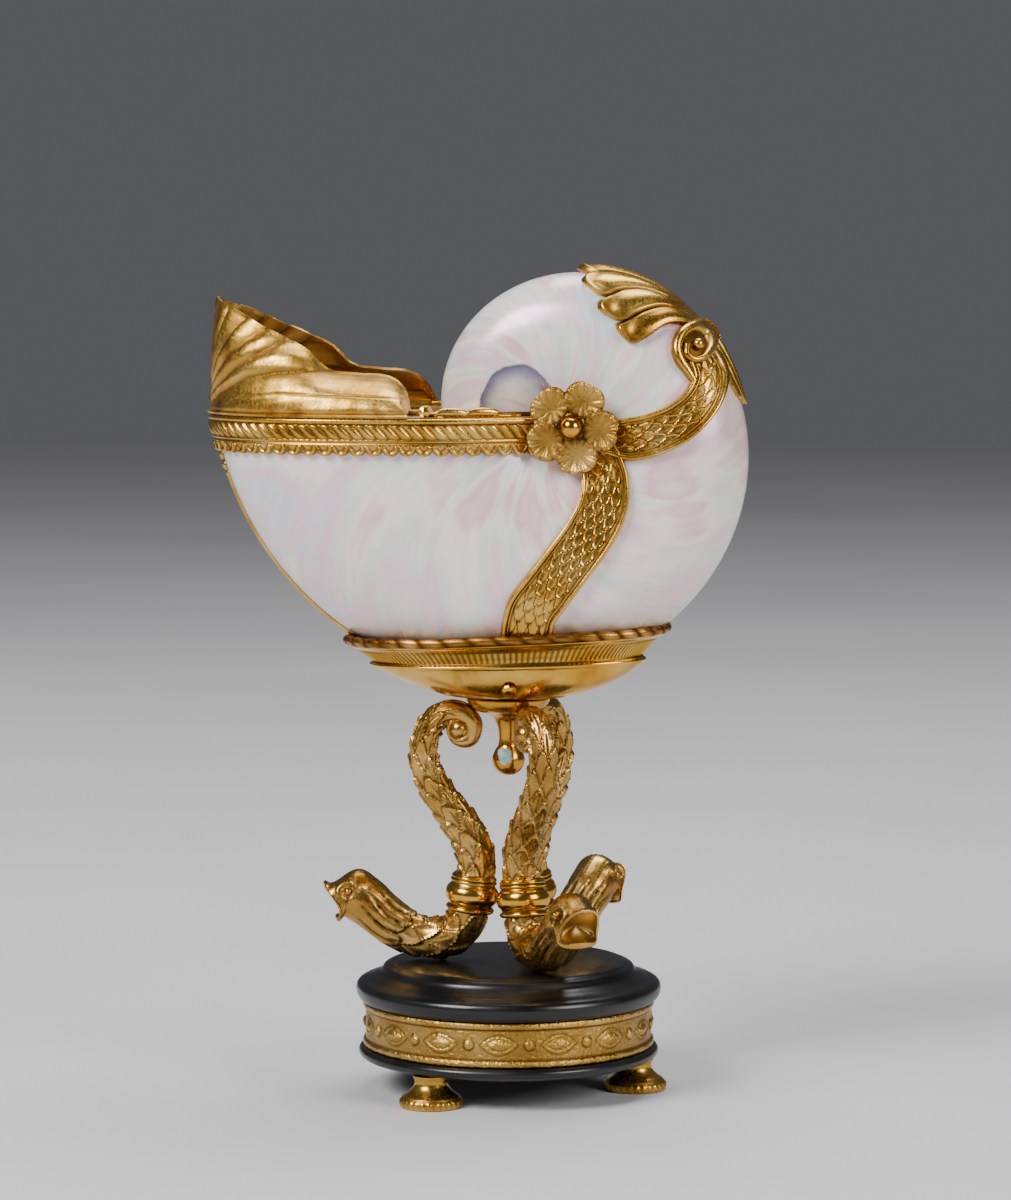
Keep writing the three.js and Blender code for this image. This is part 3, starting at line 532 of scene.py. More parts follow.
def whorlSolid(name, start, end, steps, across, lift=0.0, core=0.0):
    phi = np.linspace(start, end, steps)[:, None]
    share = np.linspace(0, 1, across)[None, :]
    reach, y = sectionAt(share)
    outR = np.interp(share, sectionShares, sectionOutR)
    outY = np.interp(share, sectionShares, sectionOutY)
    radius = whorlRadius(phi)
    r = np.maximum(radius * reach + lift * outR, core)
    half = radius * y + lift * outY
    side = np.stack([whorl["axisX"] - r * np.cos(phi), half, whorl["axisZ"] - r * np.sin(phi)], axis=-1)
    other = side * (1, -1, 1)
    ring = np.concatenate([side[:, ::-1], other[:, 1:], side[:, -1:]], axis=1)
    return gridPiece(name, ring, closeEnds=True)


def cutOrJoin(piece, tool, operation):
    pick(piece)
    step = piece.modifiers.new("combine", "BOOLEAN")
    step.operation = operation
    step.object = tool
    step.solver = "MANIFOLD"
    bpy.ops.object.modifier_apply(modifier=step.name)
    bpy.data.objects.remove(tool)


def makeShell():
    half = shellLook["turnSteps"] // 2
    across = shellLook["acrossSteps"]
    shell = whorlSolid("nautilusShell", 0, math.pi, half, across)
    cutOrJoin(shell, whorlSolid("coil", math.pi, 2 * math.pi + 0.05, half, across), "UNION")
    deselectAll()
    bpy.ops.mesh.primitive_cylinder_add(vertices=24, radius=0.0016, depth=0.028,
                                        location=atCup([[whorl["axisX"], 0, whorl["axisZ"]]])[0],
                                        rotation=(math.pi / 2, 0, 0))
    cutOrJoin(shell, settle(bpy.context.object), "UNION")
    hollow = whorlSolid("hollow", -0.15, whorl["chamberEnd"], 90, 60, -whorl["wall"], 6)
    cutOrJoin(hollow, whorlSolid("inner", 2 * math.pi - 0.25, 2 * math.pi + 2.1, 70, 50), "DIFFERENCE")
    cutOrJoin(shell, hollow, "DIFFERENCE")
    x, y, z = placesOf(shell).T
    phi, rho = polarOf(x, z)
    reach = rho / whorlRadius(phi)
    marks = {"growth": phi - 0.75 * reach ** 1.6, "reach": reach * 3 + np.where(y < 0, 7.0, 0.0)}
    scarX, scarZ, scarWide, scarTall = shellLook["scar"]
    out = np.hypot((x - scarX) / scarWide, (z - scarZ) / scarTall)
    marks["scar"] = np.where((z > 205) & (phi > 4), np.clip(out, 0, 1.3), 1.3) * 0.765
    marks["soil"] = smoothStep(-(z - 0.049 * x), -158, -149) * 1.25  # where the dish holds the shell
    for key, value in marks.items():
        addMark(shell, key, value)
    return fit(shell, "cup", nacre, ["nautilus_shell"], 32)


shell = makeShell()
print("shell made", len(shell.data.polygons))


# Outline of the lip in plan

def keelX(z):
    phi = np.zeros_like(np.asarray(z, float))
    for _ in range(8):
        phi = np.arcsin((whorl["axisZ"] - z) / whorlRadius(phi))
    return whorl["axisX"] - whorlRadius(phi) * np.cos(phi)


def halfBreadthAt(x, z):
    phi, rho = polarOf(x, z)
    radius = whorlRadius(phi)
    return radius * flankAt(np.minimum(rho / radius, 1))


def lipPlace(way, z, endX, lift):  # way runs -1 far, 0 prow, 1 near
    level = np.minimum(z, whorl["axisZ"] - 1e-6)
    prow = keelX(level)

    def spot(part):
        x = prow + (endX - prow) * part ** 2
        return x, np.where(part <= 0, 0, halfBreadthAt(x, level))
    part = np.abs(way)
    x, y = spot(part)
    x1, y1 = spot(part + 0.004)
    x0, y0 = spot(np.maximum(part - 0.004, 0))
    dx, dy = x1 - x0, y1 - y0
    length = np.hypot(dx, dy)
    outX, outY = np.where(part < 1e-6, -1, -dy / length), np.where(part < 1e-6, 0, dx / length)
    side = np.where(way < 0, 1, -1)
    return np.stack([x + outX * lift, side * (y + outY * lift), np.broadcast_to(z, x.shape)], axis=-1)


def evenWays(z, endX, count):  # ways that step evenly along the outline, and the length from the prow
    fine = np.linspace(0, 1, 1500)
    line = lipPlace(fine, np.full(1500, float(z)), endX, 1.0)
    flat = lengthAlong(line)
    length = np.linspace(0, flat[-1], count)
    way = np.interp(length, flat, fine)
    return np.concatenate([-way[:0:-1], way]), np.concatenate([length[:0:-1], length])


# Rim band: a roll, slanting gadroons, a double line and hanging scallops

rim = dict(top=218.35, bottom=206.2, gap=0.8, sheet=1.3, endX=10, steps=330, rows=40, gadroon=3.75,
           scallop=5.3, scallopFrom=209.4, face=0.72, bandTop=216.1, bandLow=211.5)  # face: share of the rows


def makeRim():
    way, length = evenWays(212, rim["endX"], rim["steps"])
    way, length = way[:, None], length[:, None]
    rows = np.linspace(0, 1, rim["rows"])[None, :]
    scallopFrom = rim["scallopFrom"]
    f = np.mod(length / rim["scallop"], 1)
    lobe = arch(2 * f - 1)
    lowEdge = rim["bottom"] + 1.9 * (1 - lobe)
    face = rim["face"]
    upper = rim["top"] - (rim["top"] - scallopFrom) * rows / face
    lower = scallopFrom - (scallopFrom - lowEdge) * (rows - face) / (1 - face)
    z = np.broadcast_to(np.where(rows < face, upper, lower), (len(way), rim["rows"]))
    lift = rim["sheet"] * 0.55 + 0.75 * arch((z - 217.1) / 0.9)
    band = (z < rim["bandTop"]) & (z > rim["bandLow"])
    slant = (length - (rim["bandTop"] - z) * 0.8) / rim["gadroon"]
    ridge = np.abs(np.sin(math.pi * slant)) ** 0.75
    swell = arch((z - 213.8) / 2.5)
    lift = lift + np.where(band, ridge * swell, 0)
    # Painted shade in the valleys between gadroons, in the grooves of the band's edges and double line, and
    # round the scallops.
    depth = np.where(band, (1 - ridge) ** 1.5, 0)
    for centre, half in ((210.9, 0.55), (209.8, 0.4)):
        lift = lift + 0.55 * arch((z - centre) / half)
    depth = depth + 0.8 * sum(bell(z, c, 0.28) for c in (216.2, 211.5, 210.3))
    hang = (rows >= face) & (z < scallopFrom)
    drop = np.clip((scallopFrom - z) / (scallopFrom - lowEdge), 0, 1)
    across = np.hypot(2 * f - 1, drop * 0.95)
    lift = lift + np.where(hang, 0.6 * bell(across, 0.78, 0.15) + 0.3 * np.clip(1 - across, 0, 1), 0)
    depth = depth + np.where(hang, bell(across, 0.5, 0.16) * 0.8 + (across > 1) * 0.8, 0)
    lift = lift + 0.05 * waver(length, z, z, 9)
    outer = lipPlace(way, z, rim["endX"], rim["gap"] + lift)
    innerZ = np.concatenate([np.broadcast_to(lowEdge, (len(way), 1)), np.full((len(way), 1), rim["bandLow"])]
                            + [np.full((len(way), 1), z) for z in (218.05, 218.05, rim["top"])], axis=1)
    half = rim["gap"] * 0.5  # a narrow ledge turns in over the shell's lip
    inner = lipPlace(way, innerZ, rim["endX"], np.array([[half, half, half, -2.3, -2.3]]) + 0 * innerZ)
    piece = wrappedPiece("rimBand", outer, inner, depth)
    return fit(piece, "cup", stampedGilt, ["rim_band"], 50)


rimBand = makeRim()
print("rim made", len(rimBand.data.polygons))


# Straps: fish scales between borders of a roll and a fillet
# Each row of a route is x, height and half width.

strap = dict(gap=0.4, sheet=1.4, border=2.6, scale=3.5, step=0.3, columns=65)
upperRoute = [[30.5, 213.2, 5.8], [36.5, 211.6, 6.1], [41, 211.2, 6.8], [48, 212.6, 6.8],
              [56.5, 216.6, 6.4], [62.6, 223, 5.8], [64.6, 230, 5.2], [62.4, 236.2, 4.6]]
lowerRoute = [[30.2, 208.6, 6.4], [32.4, 202.4, 7.2], [33.4, 197, 7.6], [32.7, 189.9, 7.9], [28.6, 181.7, 8],
              [22, 172.5, 8], [14.8, 163.2, 8], [10.6, 157.6, 8.1], [9, 152.6, 8.1], [8.3, 148.2, 8.1]]


def makeStrap(name, route):
    line, length = evenAlong(route, int(66 / strap["step"]))
    across = np.linspace(-1, 1, strap["columns"])[None, :]
    along = unit(np.gradient(line[:, :2], axis=0))
    x = line[:, :1] - across * line[:, 2:3] * along[:, 1:2]
    z = line[:, 1:2] + across * line[:, 2:3] * along[:, :1]
    offset = across * line[:, 2:3]
    length = np.broadcast_to(length[:, None], x.shape)
    inner = line[:, 2:3] - strap["border"]
    border = np.abs(offset) - inner
    height, depth = scales(length, offset / strap["scale"], strap["scale"] * 0.9, 2.4, 0.3)
    middle = -0.1 + 1.2 * height
    roll = strap["border"] * 0.68
    fillet = 0.35 + 0.45 * arch(2 * border / (strap["border"] - roll) - 1)
    outerRoll = 0.35 + 1.15 * arch(2 * (border - strap["border"] + roll) / roll - 1)
    bead = np.where(border < strap["border"] - roll, fillet, outerRoll)
    onBorder = border > 0
    relief = np.where(onBorder, bead, middle)
    # Painted shade beside the roll and the fillet, and under the scales' edges.
    edgeDepth = bell(border, 0, 0.35) + bell(border, strap["border"] - roll, 0.2) * 0.8
    depth = np.where(onBorder, edgeDepth, np.maximum(depth * 0.9, edgeDepth))
    fall = 1 - np.clip((np.abs(across) - 0.93) / 0.07, 0, 1) ** 2 * 0.6
    lift = strap["gap"] + (strap["sheet"] * 0.5 + relief) * fall + 0.08 * waver(x, z, z, 7)
    outer = onFlank(x, z, lift)
    back = [-1, strap["columns"] // 2, 0]
    under = onFlank(x[:, back], z[:, back], np.full((len(x), 3), strap["gap"] * 0.5))
    return wrappedPiece(name + "Near", outer, under, depth)


# Volute: the strap's upper end rolled up on itself, with a ball at its heart

volute = dict(ball=1.9, heart=(60.2, 239.6))
voluteRoute = [[60.2, 229.0, 1.0], [58.0, 232.2, 1.3], [55.6, 235.6, 1.5], [54.5, 239.4, 1.6],
               [55.6, 243.2, 1.7], [59.2, 245.2, 1.7], [62.9, 243.5, 1.6], [64.1, 239.6, 1.4],
               [62.6, 236.2, 1.2], [59.9, 235.3, 1.1], [57.5, 237.0, 1.0], [57.3, 239.9, 0.9]]


def makeVolute():
    line, _ = evenAlong(voluteRoute, 110)
    x, z, half = line.T
    ring = np.linspace(0, 2 * math.pi, 21)
    tangent = unit(np.gradient(line[:, :2], axis=0))
    px = x[:, None] - tangent[:, 1:2] * half[:, None] * np.cos(ring)
    pz = z[:, None] + tangent[:, :1] * half[:, None] * np.cos(ring)
    t = np.linspace(0, 1, len(line))[:, None]
    lift = 1.5 + half[:, None] * np.sin(ring) * 1.3 + 0.9 * t
    # Painted shade along the roll's edges.
    edge = bell(np.abs(np.cos(ring)), 0.9, 0.1) + 0 * lift
    roll = gridPiece("voluteRoll", onFlank(px, pz, np.maximum(lift - 0.25 * edge, 0.3)),
                     {"depth": 0.8 * edge}, closeEnds=True)
    # A disc behind the roll, wholly in the painted shade colour, stands for the shade inside the coils.
    r = np.array([5.6, 5.2, 3.5, 1.8, 0.6])[:, None]
    spin = np.linspace(0, 2 * math.pi, 33)[None, :]
    heartX, heartZ = volute["heart"]
    back = onFlank(heartX + 0.4 + 0.75 * r * np.cos(spin), heartZ + 1.2 + r * np.sin(spin),
                   np.array([0.5, 1.5, 1.7, 1.8, 1.9])[:, None] + 0 * spin)
    shadedBackDisc = gridPiece("voluteShadedBack", back, {"depth": np.ones((5, 33))}, closeEnds=True)
    heart = onFlank(*[np.array(value) for value in (heartX, heartZ, 2.9)])
    deselectAll()
    bpy.ops.mesh.primitive_uv_sphere_add(segments=24, ring_count=14, radius=volute["ball"] / 1000,
                                         location=atCup([heart])[0])
    return [roll, shadedBackDisc, settle(bpy.context.object)]


for name, route, node in (("upperStrap", upperRoute, "upper_strap"),
                          ("lowerStrap", lowerRoute, "lower_strap")):
    parts = [makeStrap(name, route)]
    if name == "upperStrap":
        parts += makeVolute()
    near = joinPieces(parts, name + "Near")
    far = mirroredCopy(near, name + "Far")
    fit(near, "cup", stampedGilt, [node + "_near"], 45)
    fit(far, "cup", stampedGilt, [node + "_far"], 45)
print("straps made", len(near.data.polygons))


# Crest: seven gadroon lobes fanned over the keel, with a leaf down the back

# Middle line of each lobe, as [radians past the level line, mm from the keel], from the tip back
lobeLines = [
    [[1.415, 0], [1.30, 0], [1.15, 0], [0.98, 0], [0.8, 0], [0.65, 0], [0.5, 0]],
    [[1.345, 10.6], [1.25, 11.4], [1.15, 9.0], [0.99, 6.3], [0.81, 3.8], [0.65, 2.4], [0.5, 1.4]],
    [[1.15, 20.4], [1.03, 19.6], [0.965, 14.6], [0.885, 10.2], [0.79, 6.6], [0.66, 4.4], [0.5, 2.8]],
    [[0.92, 25.4], [0.815, 24.4], [0.765, 18.6], [0.715, 12.6], [0.635, 8.4], [0.57, 6.2], [0.5, 4.4]],
]
outerLine = [[0.80, 28.4], [0.735, 27.0], [0.705, 22.0], [0.69, 15.6], [0.62, 9.9], [0.55, 7.2], [0.49, 5.3]]
crest = dict(gap=0.4, sheet=1.1, swell=1.9)


def makeCrest():
    rows, perLobe = 84, 15
    q = np.linspace(-3.5, 3.5, 7 * perLobe + 1)[None, :]
    t = np.linspace(0, 1, rows)[:, None]
    lines = np.array(lobeLines + [outerLine])
    keys = np.array([0, 1, 2, 3, 3.5])
    local = q - np.round(q)
    tipBack = 0.26 * (1 - arch(1.96 * np.abs(local)))  # rounds each lobe's end
    run = (tipBack + (1 - tipBack) * t) * 6
    at = np.abs(q)
    sampled = np.stack([smoothAlong(line, run) for line in lines])  # line, row, column, 2
    below = np.clip(np.searchsorted(keys, at, side="right") - 1, 0, 3)
    share = (at - keys[below]) / (keys[below + 1] - keys[below])
    column = np.arange(q.shape[1])[None, :]
    row = np.arange(rows)[:, None]
    low = sampled[below, row, column]
    high = sampled[below + 1, row, column]
    spot = low + (high - low) * share[..., None]
    phi = math.pi + spot[..., 0]
    distance = np.where(q < 0, -1, 1) * spot[..., 1]
    dome = arch(2 * local)
    fullness = smoothStep(t, -0.03, 0.07) * (1 - 0.75 * smoothStep(t, 0.45, 1.0))
    sag = bell(t, 0.12, 0.07) * 0.7 * dome ** 2  # hollow pressed in each bulb
    line = bell(np.abs(local), 0.41, 0.045) * 0.45 * smoothStep(t, 0.02, 0.2)
    lift = crest["gap"] + crest["sheet"] * (0.35 + 0.5 * smoothStep(t, 0, 0.04)) \
        + (crest["swell"] * dome * fullness - sag + line)
    # Painted shade between the lobes and in the hollow pressed in each bulb.
    depth = np.clip((1 - dome) ** 1.2 + bell(t, 0.13, 0.06) * 0.55 * dome, 0, 1)
    outer = besideKeel(phi, distance, lift)
    under = besideKeel(phi[:, ::-15], distance[:, ::-15], np.full(phi[:, ::-15].shape, crest["gap"] * 0.5))
    return [wrappedPiece("crest", outer, under, depth), makeLeaf()]


def makeLeaf():
    rows = 60
    t = np.linspace(0, 1, rows)[:, None]
    q = np.linspace(-1, 1, 41)[None, :]
    phi = math.pi + 0.56 - 0.47 * t + 0 * q
    half = np.interp(t, [0, 0.15, 0.4, 0.7, 0.9, 1], [4.6, 5.6, 7.6, 7.4, 5.0, 0.4])
    ridge = np.abs(np.cos(q * math.pi * 2.5)) ** 0.7
    lift = crest["gap"] + crest["sheet"] * 0.6 + 1.2 * ridge * (1 - q ** 2) ** 0.5 * (1 - 0.5 * t) \
        + 1.0 * bell(q, 0, 0.3) * (1 - t)
    outer = besideKeel(phi, q * half, lift)
    under = besideKeel(phi[:, ::-20], (q * half)[:, ::-20], np.full((rows, 3), crest["gap"] * 0.5))
    # Painted shade in the grooves between the leaf's ribs.
    return wrappedPiece("crestLeaf", outer, under, (1 - ridge) ** 1.3)


crestPiece = joinPieces(makeCrest(), "crest")
fit(crestPiece, "cup", stampedGilt, ["crest"], 60)
print("crest made", len(crestPiece.data.polygons))


# Keel strap: a half-round rib from the rim band to the dish, beaded at its top

keelStrap = dict(half=1.6, start=0.06, end=0.84, gap=0.4, proud=1.1, beadedTo=0.16)


def makeKeelStrap():
    rows = 220
    phi = np.linspace(keelStrap["start"], keelStrap["end"], rows)[:, None]
    turn = np.linspace(0, 2 * math.pi, 17)[None, :]
    length = (phi - keelStrap["start"]) * 100
    beaded = 1 - smoothStep(phi, keelStrap["beadedTo"] - 0.02, keelStrap["beadedTo"] + 0.02)
    bead = np.sqrt(np.clip(1 - (2 * np.mod(length / 3.2, 1) - 1) ** 2, 0.04, 1))
    half = keelStrap["half"] * (1 + beaded * (0.9 * bead - 0.45))
    proud = keelStrap["proud"] * (1 + beaded * (0.9 * bead - 0.5))
    distance = half * np.cos(turn)
    lift = keelStrap["gap"] + np.maximum(proud * np.sin(turn), 0) + 0 * distance
    # Painted shade between the beads.
    depth = beaded * (1 - bead) + 0 * turn
    points = besideKeel(phi + 0 * turn, distance, lift)
    return gridPiece("keelStrap", points, {"depth": depth}, closeEnds=True)


fit(makeKeelStrap(), "cup", stampedGilt, ["keel_strap"], 60)


# Rosettes: five broad petals round a polished ball

rosette = dict(x=23.3, y=27.9, z=215.3, reach=14.5, petal=6.1, firstAngle=65)


def facing(points, y):  # lays a flower modelled flat, with its face up, against the near flank
    x, up, out = points[..., 0], points[..., 1], points[..., 2]
    return np.stack([rosette["x"] + x, -(y + out), rosette["z"] + up], axis=-1)


def makeRosette():
    parts = []
    for k in range(5):
        turn = math.radians(rosette["firstAngle"] + 72 * k)
        r = 1 - (1 - np.linspace(0, 1, 34)[:, None]) ** 1.5
        a = np.sin(np.linspace(-1, 1, 61) * math.pi / 2)[None, :]
        along = 3.4 + (rosette["reach"] - 3.4) * r
        wide = rosette["petal"] * np.clip(1 - np.abs((along - 9.4) / 5.6) ** 2.6, 0, 1) ** 0.5 + 0.7 * (1 - r)
        notch = 0.5 * bell(a, 0, 0.2) * r ** 6
        px = along - notch
        py = a * wide
        rho = np.clip(np.hypot((px - 9.2) / 5.6, py / rosette["petal"]), 0, 1)
        spread = np.arctan2(py, px - 8.2)
        ripple = 0.22 * np.cos(spread * 11 + k) * rho ** 1.5 + 0.16 * np.cos(spread * 29 + 2 * k) * rho
        cup = 1.15 * rho ** 2 * (1 - 0.55 * smoothStep(rho, 0.86, 1.0))
        out = 1.0 + cup + ripple + 0.25 * math.sin(k * 2.3) * a
        top = np.stack([px, py, out + 0.9], axis=-1)
        under = np.stack([px, py, np.minimum(out - 0.5, 1.2) * 0.35], axis=-1)
        ring = np.concatenate([top, under[:, ::-1], top[:, :1]], axis=1)
        x, y, z = np.moveaxis(ring, -1, 0)
        turned = np.stack([x * math.cos(turn) - y * math.sin(turn),
                           x * math.sin(turn) + y * math.cos(turn), z], axis=-1)
        # Painted shade at each petal's root, in the ripples' hollows, along its sides and over its underside.
        creases = 1.3 * np.exp(-r * 4) + 0.5 * np.clip(-ripple * 4, 0, 1) + 0.8 * np.abs(a) ** 14
        depth = np.concatenate([creases, 0.4 + 0 * under[..., 0], 0 * top[:, :1, 0]], axis=1)
        parts.append(gridPiece("petal", facing(turned, rosette["y"]), {"depth": np.clip(depth, 0, 1)},
                               closeEnds=True))
    return joinPieces(parts, "rosetteNear")


def makeRosettePin():
    outline = [(0, 0.2)]
    outline += [(5.0 - 0.5 * (1 - math.cos(k * 0.4)), 0.2 + 1.9 * math.sin(k * 0.4)) for k in range(4)]
    outline += [(3.9, 2.3), (3.6, 2.1)]
    outline += [(3.35 * math.cos(a), 4.6 + 3.2 * math.sin(a)) for a in np.linspace(-0.85, math.pi / 2, 14)]
    outline[-1] = (0, outline[-1][1])
    points, h = roundPoints(outline, 40)
    # Painted shade where the ball meets its collar.
    return gridPiece("rosettePinNear", facing(points, rosette["y"] + 0.1), {"depth": bell(h, 2.2, 0.5)})


for maker, node, material, slotName in ((makeRosette, "rosette", brushedGilt, "matte_gilt"),
                                        (makeRosettePin, "rosette_pin", burnishedGilt, "gilt")):
    near = maker()
    far = mirroredCopy(near, near.name.replace("Near", "Far"))
    fit(near, "cup", material, [node + "_near"], 50)
    fit(far, "cup", material, [node + "_far"], 50)
print("rosettes made")


# Hood: a sheet beaten into scallop lobes that spread from a small knob at the prow

hood = dict(base=218.6, sheet=0.8, endX=-27.5, steps=190, rows=58, valley=2.1)
# The hood's free edge, as [share of the way back from the prow, x, y, height]
hoodEdge = [[0, -94.1, 0, 255.1], [0.15, -90.5, 7, 253], [0.3, -84.6, 14, 251], [0.45, -76.8, 20, 246.8],
            [0.6, -68.6, 24, 243.2], [0.7, -61, 26, 239.2], [0.78, -54, 26.4, 233.4],
            [0.87, -44.6, 25.4, 232], [0.94, -35.4, 24.6, 231.2], [0.98, -30.2, 26, 227.4],
            [1, -27.6, 31.6, 220.6]]
# Height of each valley over the base, by distance from the prow; the first is the scored line
valleyLines = [
    [(0, 1.0), (4.5, 1.5), (15, 5.5), (26, 6.8), (47, 6.5), (80, 5.0)],
    [(0, 2.2), (5, 6.5), (15, 12), (25, 13.8), (34, 14.2), (55, 14.2), (80, 13)],
    [(0, 3.2), (2.5, 7), (10, 14.6), (20, 21), (30, 26), (80, 45)],
    [(0, 4.2), (1.5, 8.5), (6.5, 18.6), (13.6, 25.5), (25, 34), (80, 70)],
    [(0, 5.2), (1, 9.5), (3.5, 19.6), (7, 28.2), (12, 38), (80, 160)],
    [(0, 6.2), (0.5, 11.6), (2.2, 28), (3.2, 38), (6, 60), (80, 600)],
]


def makeHood():
    edge = np.array(hoodEdge)
    samples = 900
    ways = np.linspace(0, 1, samples)
    keys = np.interp(ways, edge[:, 0], np.arange(len(edge)))
    rim3 = smoothAlong(edge[:, 1:], keys)
    rim3[0, 1] = 0
    base = lipPlace(ways, np.full(samples, hood["base"]), hood["endX"], 1.4)
    flat, topRun = lengthAlong(base), lengthAlong(rim3)
    blend = 0.6 * flat / flat[-1] + 0.4 * topRun / topRun[-1]
    way = np.interp(np.linspace(0, 1, hood["steps"]), blend, ways)
    edgeHere = np.stack([np.interp(way, ways, rim3[:, k]) for k in range(3)], axis=1)
    baseHere = np.stack([np.interp(way, ways, base[:, k]) for k in range(3)], axis=1)
    h = np.linspace(0, 1, hood["rows"])[None, :]
    rise, lean = 1.3 * h - 0.3 * h * h, h * h
    x = baseHere[:, :1] + (edgeHere[:, :1] - baseHere[:, :1]) * lean
    y = np.abs(baseHere[:, 1:2]) + (edgeHere[:, 1:2] - np.abs(baseHere[:, 1:2])) * lean
    z = hood["base"] + 0.7 + (edgeHere[:, 2:3] - hood["base"] - 0.7) * rise
    run = np.broadcast_to(baseHere[:, :1] - baseHere[0, 0], x.shape)
    height = z - hood["base"]
    levels = np.stack([np.interp(run, *zip(*line)) for line in valleyLines])
    lobe = np.zeros(x.shape)
    lows = np.concatenate([np.zeros((1,) + x.shape), levels[1:]])
    for k in range(5):
        share = (height - lows[k]) / np.maximum(lows[k + 1] - lows[k], 1e-6)
        lobe = np.where(height > lows[k], k + np.clip(share, 0, 1), lobe)
    lobe = np.where(height > lows[5], 5.001 + np.clip((height - lows[5]) / 20, 0, 0.49), lobe)
    away = np.hypot(np.hypot(run, y), height - 4)
    phase = lobe - np.floor(lobe)
    dome = np.abs(np.sin(math.pi * phase)) ** 0.6
    size = np.clip(away * 0.11, 0.15, hood["valley"])
    dome = np.where(lobe < 1, np.sin(math.pi * np.clip(phase * 0.55 + 0.45, 0, 1)) ** 0.6, dome)
    scored = bell(height, levels[0], 0.35) * smoothStep(run, 4, 10) * (1 - smoothStep(run, 60, 74))
    relief = size * (dome - 0.75) - 0.28 * scored
    nearEdge = smoothStep(h, 0.95, 1.0)
    relief = relief * (1 - 0.35 * nearEdge) + 0.35 * nearEdge
    knob = bell(np.hypot(y, height - 3.6), 0, 3.4)
    relief = relief + 0.9 * knob + 0.12 * waver(x, y, z, 6) * smoothStep(away, 6, 20)
    foot = bell(height, 0, 1.0)
    relief = relief * (1 - foot)
    # Painted shade in the valleys between the lobes, along the scored line and at the foot.
    depth = np.clip((1 - dome) ** 1.4 * smoothStep(away, 1, 5) + 0.8 * scored + 0.6 * foot, 0, 1)
    inward = unit(np.stack([-55 - x, -y, (hood["base"] - 8 - z) * 0.5], axis=-1))
    wall = np.stack([x, y, z], axis=-1) - inward * relief[..., None]
    plan = wall[:, :1] - np.array([-40, 0, 0])
    plan[..., 2] = 0
    plan = unit(plan)
    ground = np.stack([x[:, :1], y[:, :1], 0 * x[:, :1] + hood["base"] + 0.45], axis=-1)
    lips = [ground + plan * 1.3 + (0, 0, -0.2), ground + plan * 0.9 + (0, 0, 0.15)]
    column = np.concatenate(lips + [wall], axis=1)
    depth = np.concatenate([np.zeros((len(x), 1)), np.full((len(x), 1), 0.5), depth], axis=1)
    sheet = np.concatenate([column[:0:-1] * (1, -1, 1), column])
    marks = np.concatenate([depth[:0:-1], depth])
    piece = gridPiece("hood", sheet, {"depth": marks}, recalculate=False)
    some = list(piece.data.polygons)[::97]
    normals = np.array([face.normal for face in some])
    outward = np.array([face.center for face in some]) - atCup([[-50, 0, 232]])[0]
    if np.sum(normals * outward) < 0:
        pick(piece)
        bpy.ops.object.mode_set(mode="EDIT")
        bpy.ops.mesh.select_all(action="SELECT")
        bpy.ops.mesh.flip_normals()
        bpy.ops.object.mode_set(mode="OBJECT")
    pick(piece)
    wallStep = piece.modifiers.new("wall", "SOLIDIFY")
    wallStep.thickness = hood["sheet"] / 1000
    wallStep.offset = -1
    bpy.ops.object.modifier_apply(modifier=wallStep.name)
    return piece


# Hinges: short barrels each side, on a tab from the hood and one from the plate

hinge = dict(x=-22.3, z=220.1, barrel=1.9, lid=(31.2, 34.2), plate=(34.6, 37.4), tabFrom=-29.0,
             tabSize=(5.8, 1.1), plateTab=(4.8, 1.8, 1.0))


def makeBarrel(side, span):
    deselectAll()
    middle = [[hinge["x"], side * (span[0] + span[1]) / 2, hinge["z"]]]
    bpy.ops.mesh.primitive_cylinder_add(vertices=32, radius=hinge["barrel"] / 1000,
                                        depth=(span[1] - span[0]) / 1000, location=atCup(middle)[0],
                                        rotation=(math.pi / 2, 0, 0))
    return roundEdges(settle(bpy.context.object), 0.3)


def makeBlock(middle, size):  # a small tab with softened edges
    deselectAll()
    bpy.ops.mesh.primitive_cube_add(size=1, location=atCup([middle])[0],
                                    scale=[length / 1000 for length in size])
    return roundEdges(settle(bpy.context.object), 0.25)


def makeTab(side, span):
    long, wide = hinge["tabSize"]
    middle = (hinge["tabFrom"] + long / 2, side * (span[0] + span[1]) / 2, hinge["z"] - 0.05)
    return makeBlock(middle, (long, span[1] - span[0] - 0.2, wide))


hoodParts = [makeHood()]
for side in (-1, 1):
    hoodParts += [makeBarrel(side, hinge["lid"]), makeTab(side, hinge["lid"])]
hoodPiece = joinPieces(hoodParts, "hood")
fit(hoodPiece, "lid", hoodGilt, ["lid"], 60)
print("hood made", len(hoodPiece.data.polygons))


# Dish: a smooth bowl, a ridge and a reeded hollow band, under a twisted rope

dish = dict(tilt=math.radians(2.8), shift=-0.6, round=300, reeds=150)
# Each level is its height, then half its length and half its breadth.
dishLevels = [[126.9, 14, 11.5], [127.6, 20, 14.6], [129.4, 27.5, 17.2], [133, 36.2, 20],
              [137.2, 43.2, 22.2], [137.9, 44.2, 22.8], [138.4, 44.7, 23.1], [138.9, 44.6, 23],
              [139.3, 43.9, 22.6], [140.2, 43.6, 22.3], [141.8, 45.2, 23.3], [143.4, 47.0, 24.3],
              [144.6, 49.0, 25.6], [145.2, 50.4, 26.5], [145.7, 50.9, 26.9]]


def dishPoint(z, a, b, turn, lift=0.0):
    lean = smoothStep(z, 130, 146)
    x = (a + lift) * np.cos(turn) + dish["shift"] * lean
    return np.stack([x, (b + lift) * np.sin(turn), z + x * math.tan(dish["tilt"]) * lean], axis=-1)


